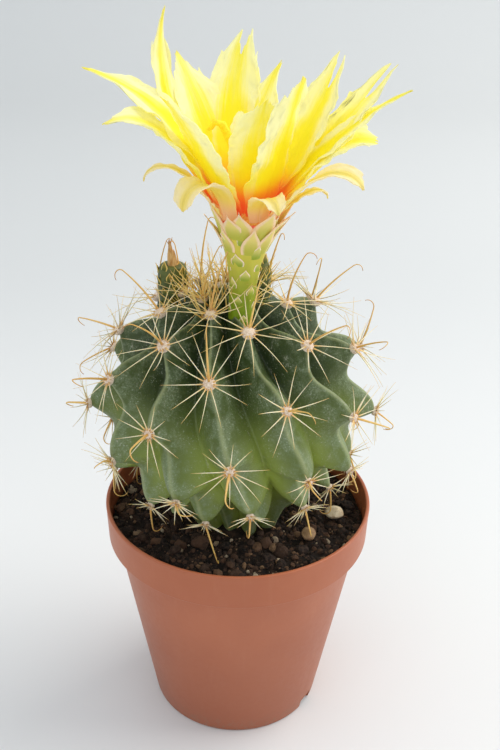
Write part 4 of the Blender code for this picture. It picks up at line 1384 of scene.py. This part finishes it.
def light_and_camera():
    world = bpy.data.worlds.new("soft_room")
    bpy.context.scene.world = world
    world.use_nodes = True
    sky = world.node_tree.nodes["Background"]
    sky.inputs["Color"].default_value = (0.86, 0.93, 1.0, 1.0)
    sky.inputs["Strength"].default_value = 0.72
    area_light("window", (0.60, 0.20, 0.50), (0, 0, 0.07), (0.8, 0.8), 5.4, (1.0, 0.975, 0.94))
    area_light("overhead", (-0.1, 0.1, 0.9), (0, 0, 0.05), (0.9, 0.9), 1.6, (0.97, 0.98, 1.0))
    area_light("front_fill", (-0.45, -0.7, 0.5), (0, 0, 0.06), (0.6, 0.6), 0.8, (0.97, 0.98, 1.0))

    turn = Matrix.Rotation(CAMERA_YAW, 3, "Z")
    forward = turn @ tilted(Vector((0, 1, 0)), UP * -1, CAMERA_PITCH)
    upward = turn @ tilted(UP, Vector((0, 1, 0)), CAMERA_PITCH)
    right = turn @ Vector((1, 0, 0))
    view = bpy.data.cameras.new("view")
    view.lens = CAMERA_LENS
    view.sensor_width = 36
    view.clip_start = 0.01
    camera = link("view", view)
    rows = (tilted(right, upward, CAMERA_ROLL), tilted(upward, right * -1, CAMERA_ROLL), -forward)
    place = Matrix(rows).transposed().to_4x4()
    place.translation = Vector(CAMERA_PLACE)
    camera.matrix_world = place
    bpy.context.scene.camera = camera
    bpy.context.scene.view_settings.view_transform = "Standard"


def main():
    materials = {
        "pot": terracotta_plastic(),
        "peat": peat(),
        "crumb": compost_crumb(),
        "pebble_cream": pale_stone("cream_stone", (0.72, 0.60, 0.40), (0.50, 0.36, 0.20)),
        "pebble_tan": pale_stone("tan_stone", (0.42, 0.26, 0.13), (0.24, 0.13, 0.06)),
        "skin": cactus_skin(),
        "straw": spine_straw("straw_spine", (0.98, 0.87, 0.62), (0.90, 0.58, 0.22), (0.62, 0.28, 0.07)),
        "golden": spine_straw("golden_spine", (0.93, 0.70, 0.24), (0.80, 0.46, 0.11), (0.42, 0.15, 0.05)),
        "amber": spine_straw("amber_spine", (0.78, 0.46, 0.14), (0.66, 0.32, 0.07), (0.34, 0.09, 0.03)),
        "felt": areole_felt(),
        "petal": petal_silk(
            "petal_silk", (0.96, 0.95, 0.62), (0.95, 0.86, 0.020), (0.86, 0.80, 0.02), (0.95, 0.10, 0.060),
            (0.98, 0.92, 0.28, 1.0),
        ),
        "outer_petal": petal_silk(
            "outer_petal_silk", (0.95, 0.88, 0.58), (0.88, 0.76, 0.14), (0.62, 0.52, 0.06), (0.90, 0.62, 0.36),
            (0.95, 0.80, 0.34, 1.0),
        ),
        "tube": flower_tube_skin(),
        "tube_bract": scale_skin("tube_bract", (0.30, 0.38, 0.03), (0.66, 0.60, 0.16), (0.96, 0.76, 0.58), 0.8),
        "sepal": scale_skin("sepal", (0.50, 0.48, 0.06), (0.84, 0.68, 0.20), (0.92, 0.66, 0.40), 0.6),
        "filament": pollen_yellow("filament", (0.95, 0.78, 0.22), (0.85, 0.35, 0.08)),
        "anther": pollen_yellow("anther", (0.98, 0.80, 0.12), (0.85, 0.58, 0.04)),
        "stigma": pollen_yellow("stigma", (0.98, 0.78, 0.03), (0.92, 0.66, 0.02)),
        "fruit": dark_fruit_skin(),
        "fruit_bract": scale_skin("fruit_bract", (0.07, 0.10, 0.012), (0.24, 0.20, 0.03), (0.90, 0.62, 0.16), 0.7, 0.0),
        "dried": dried_petals(),
        "floor": studio_paper(),
    }
    make_pot(materials["pot"])
    make_soil(materials)
    make_pebbles(materials)
    grown("ribbed_stem", "skin", ["stem"], ribbed_stem_tree(), Material=materials["skin"])
    make_spines(materials)
    make_tube(materials)
    make_heart(materials)
    make_petals(materials)
    make_fruit_and_bud(materials)
    make_stage(materials["floor"])
    light_and_camera()


main()
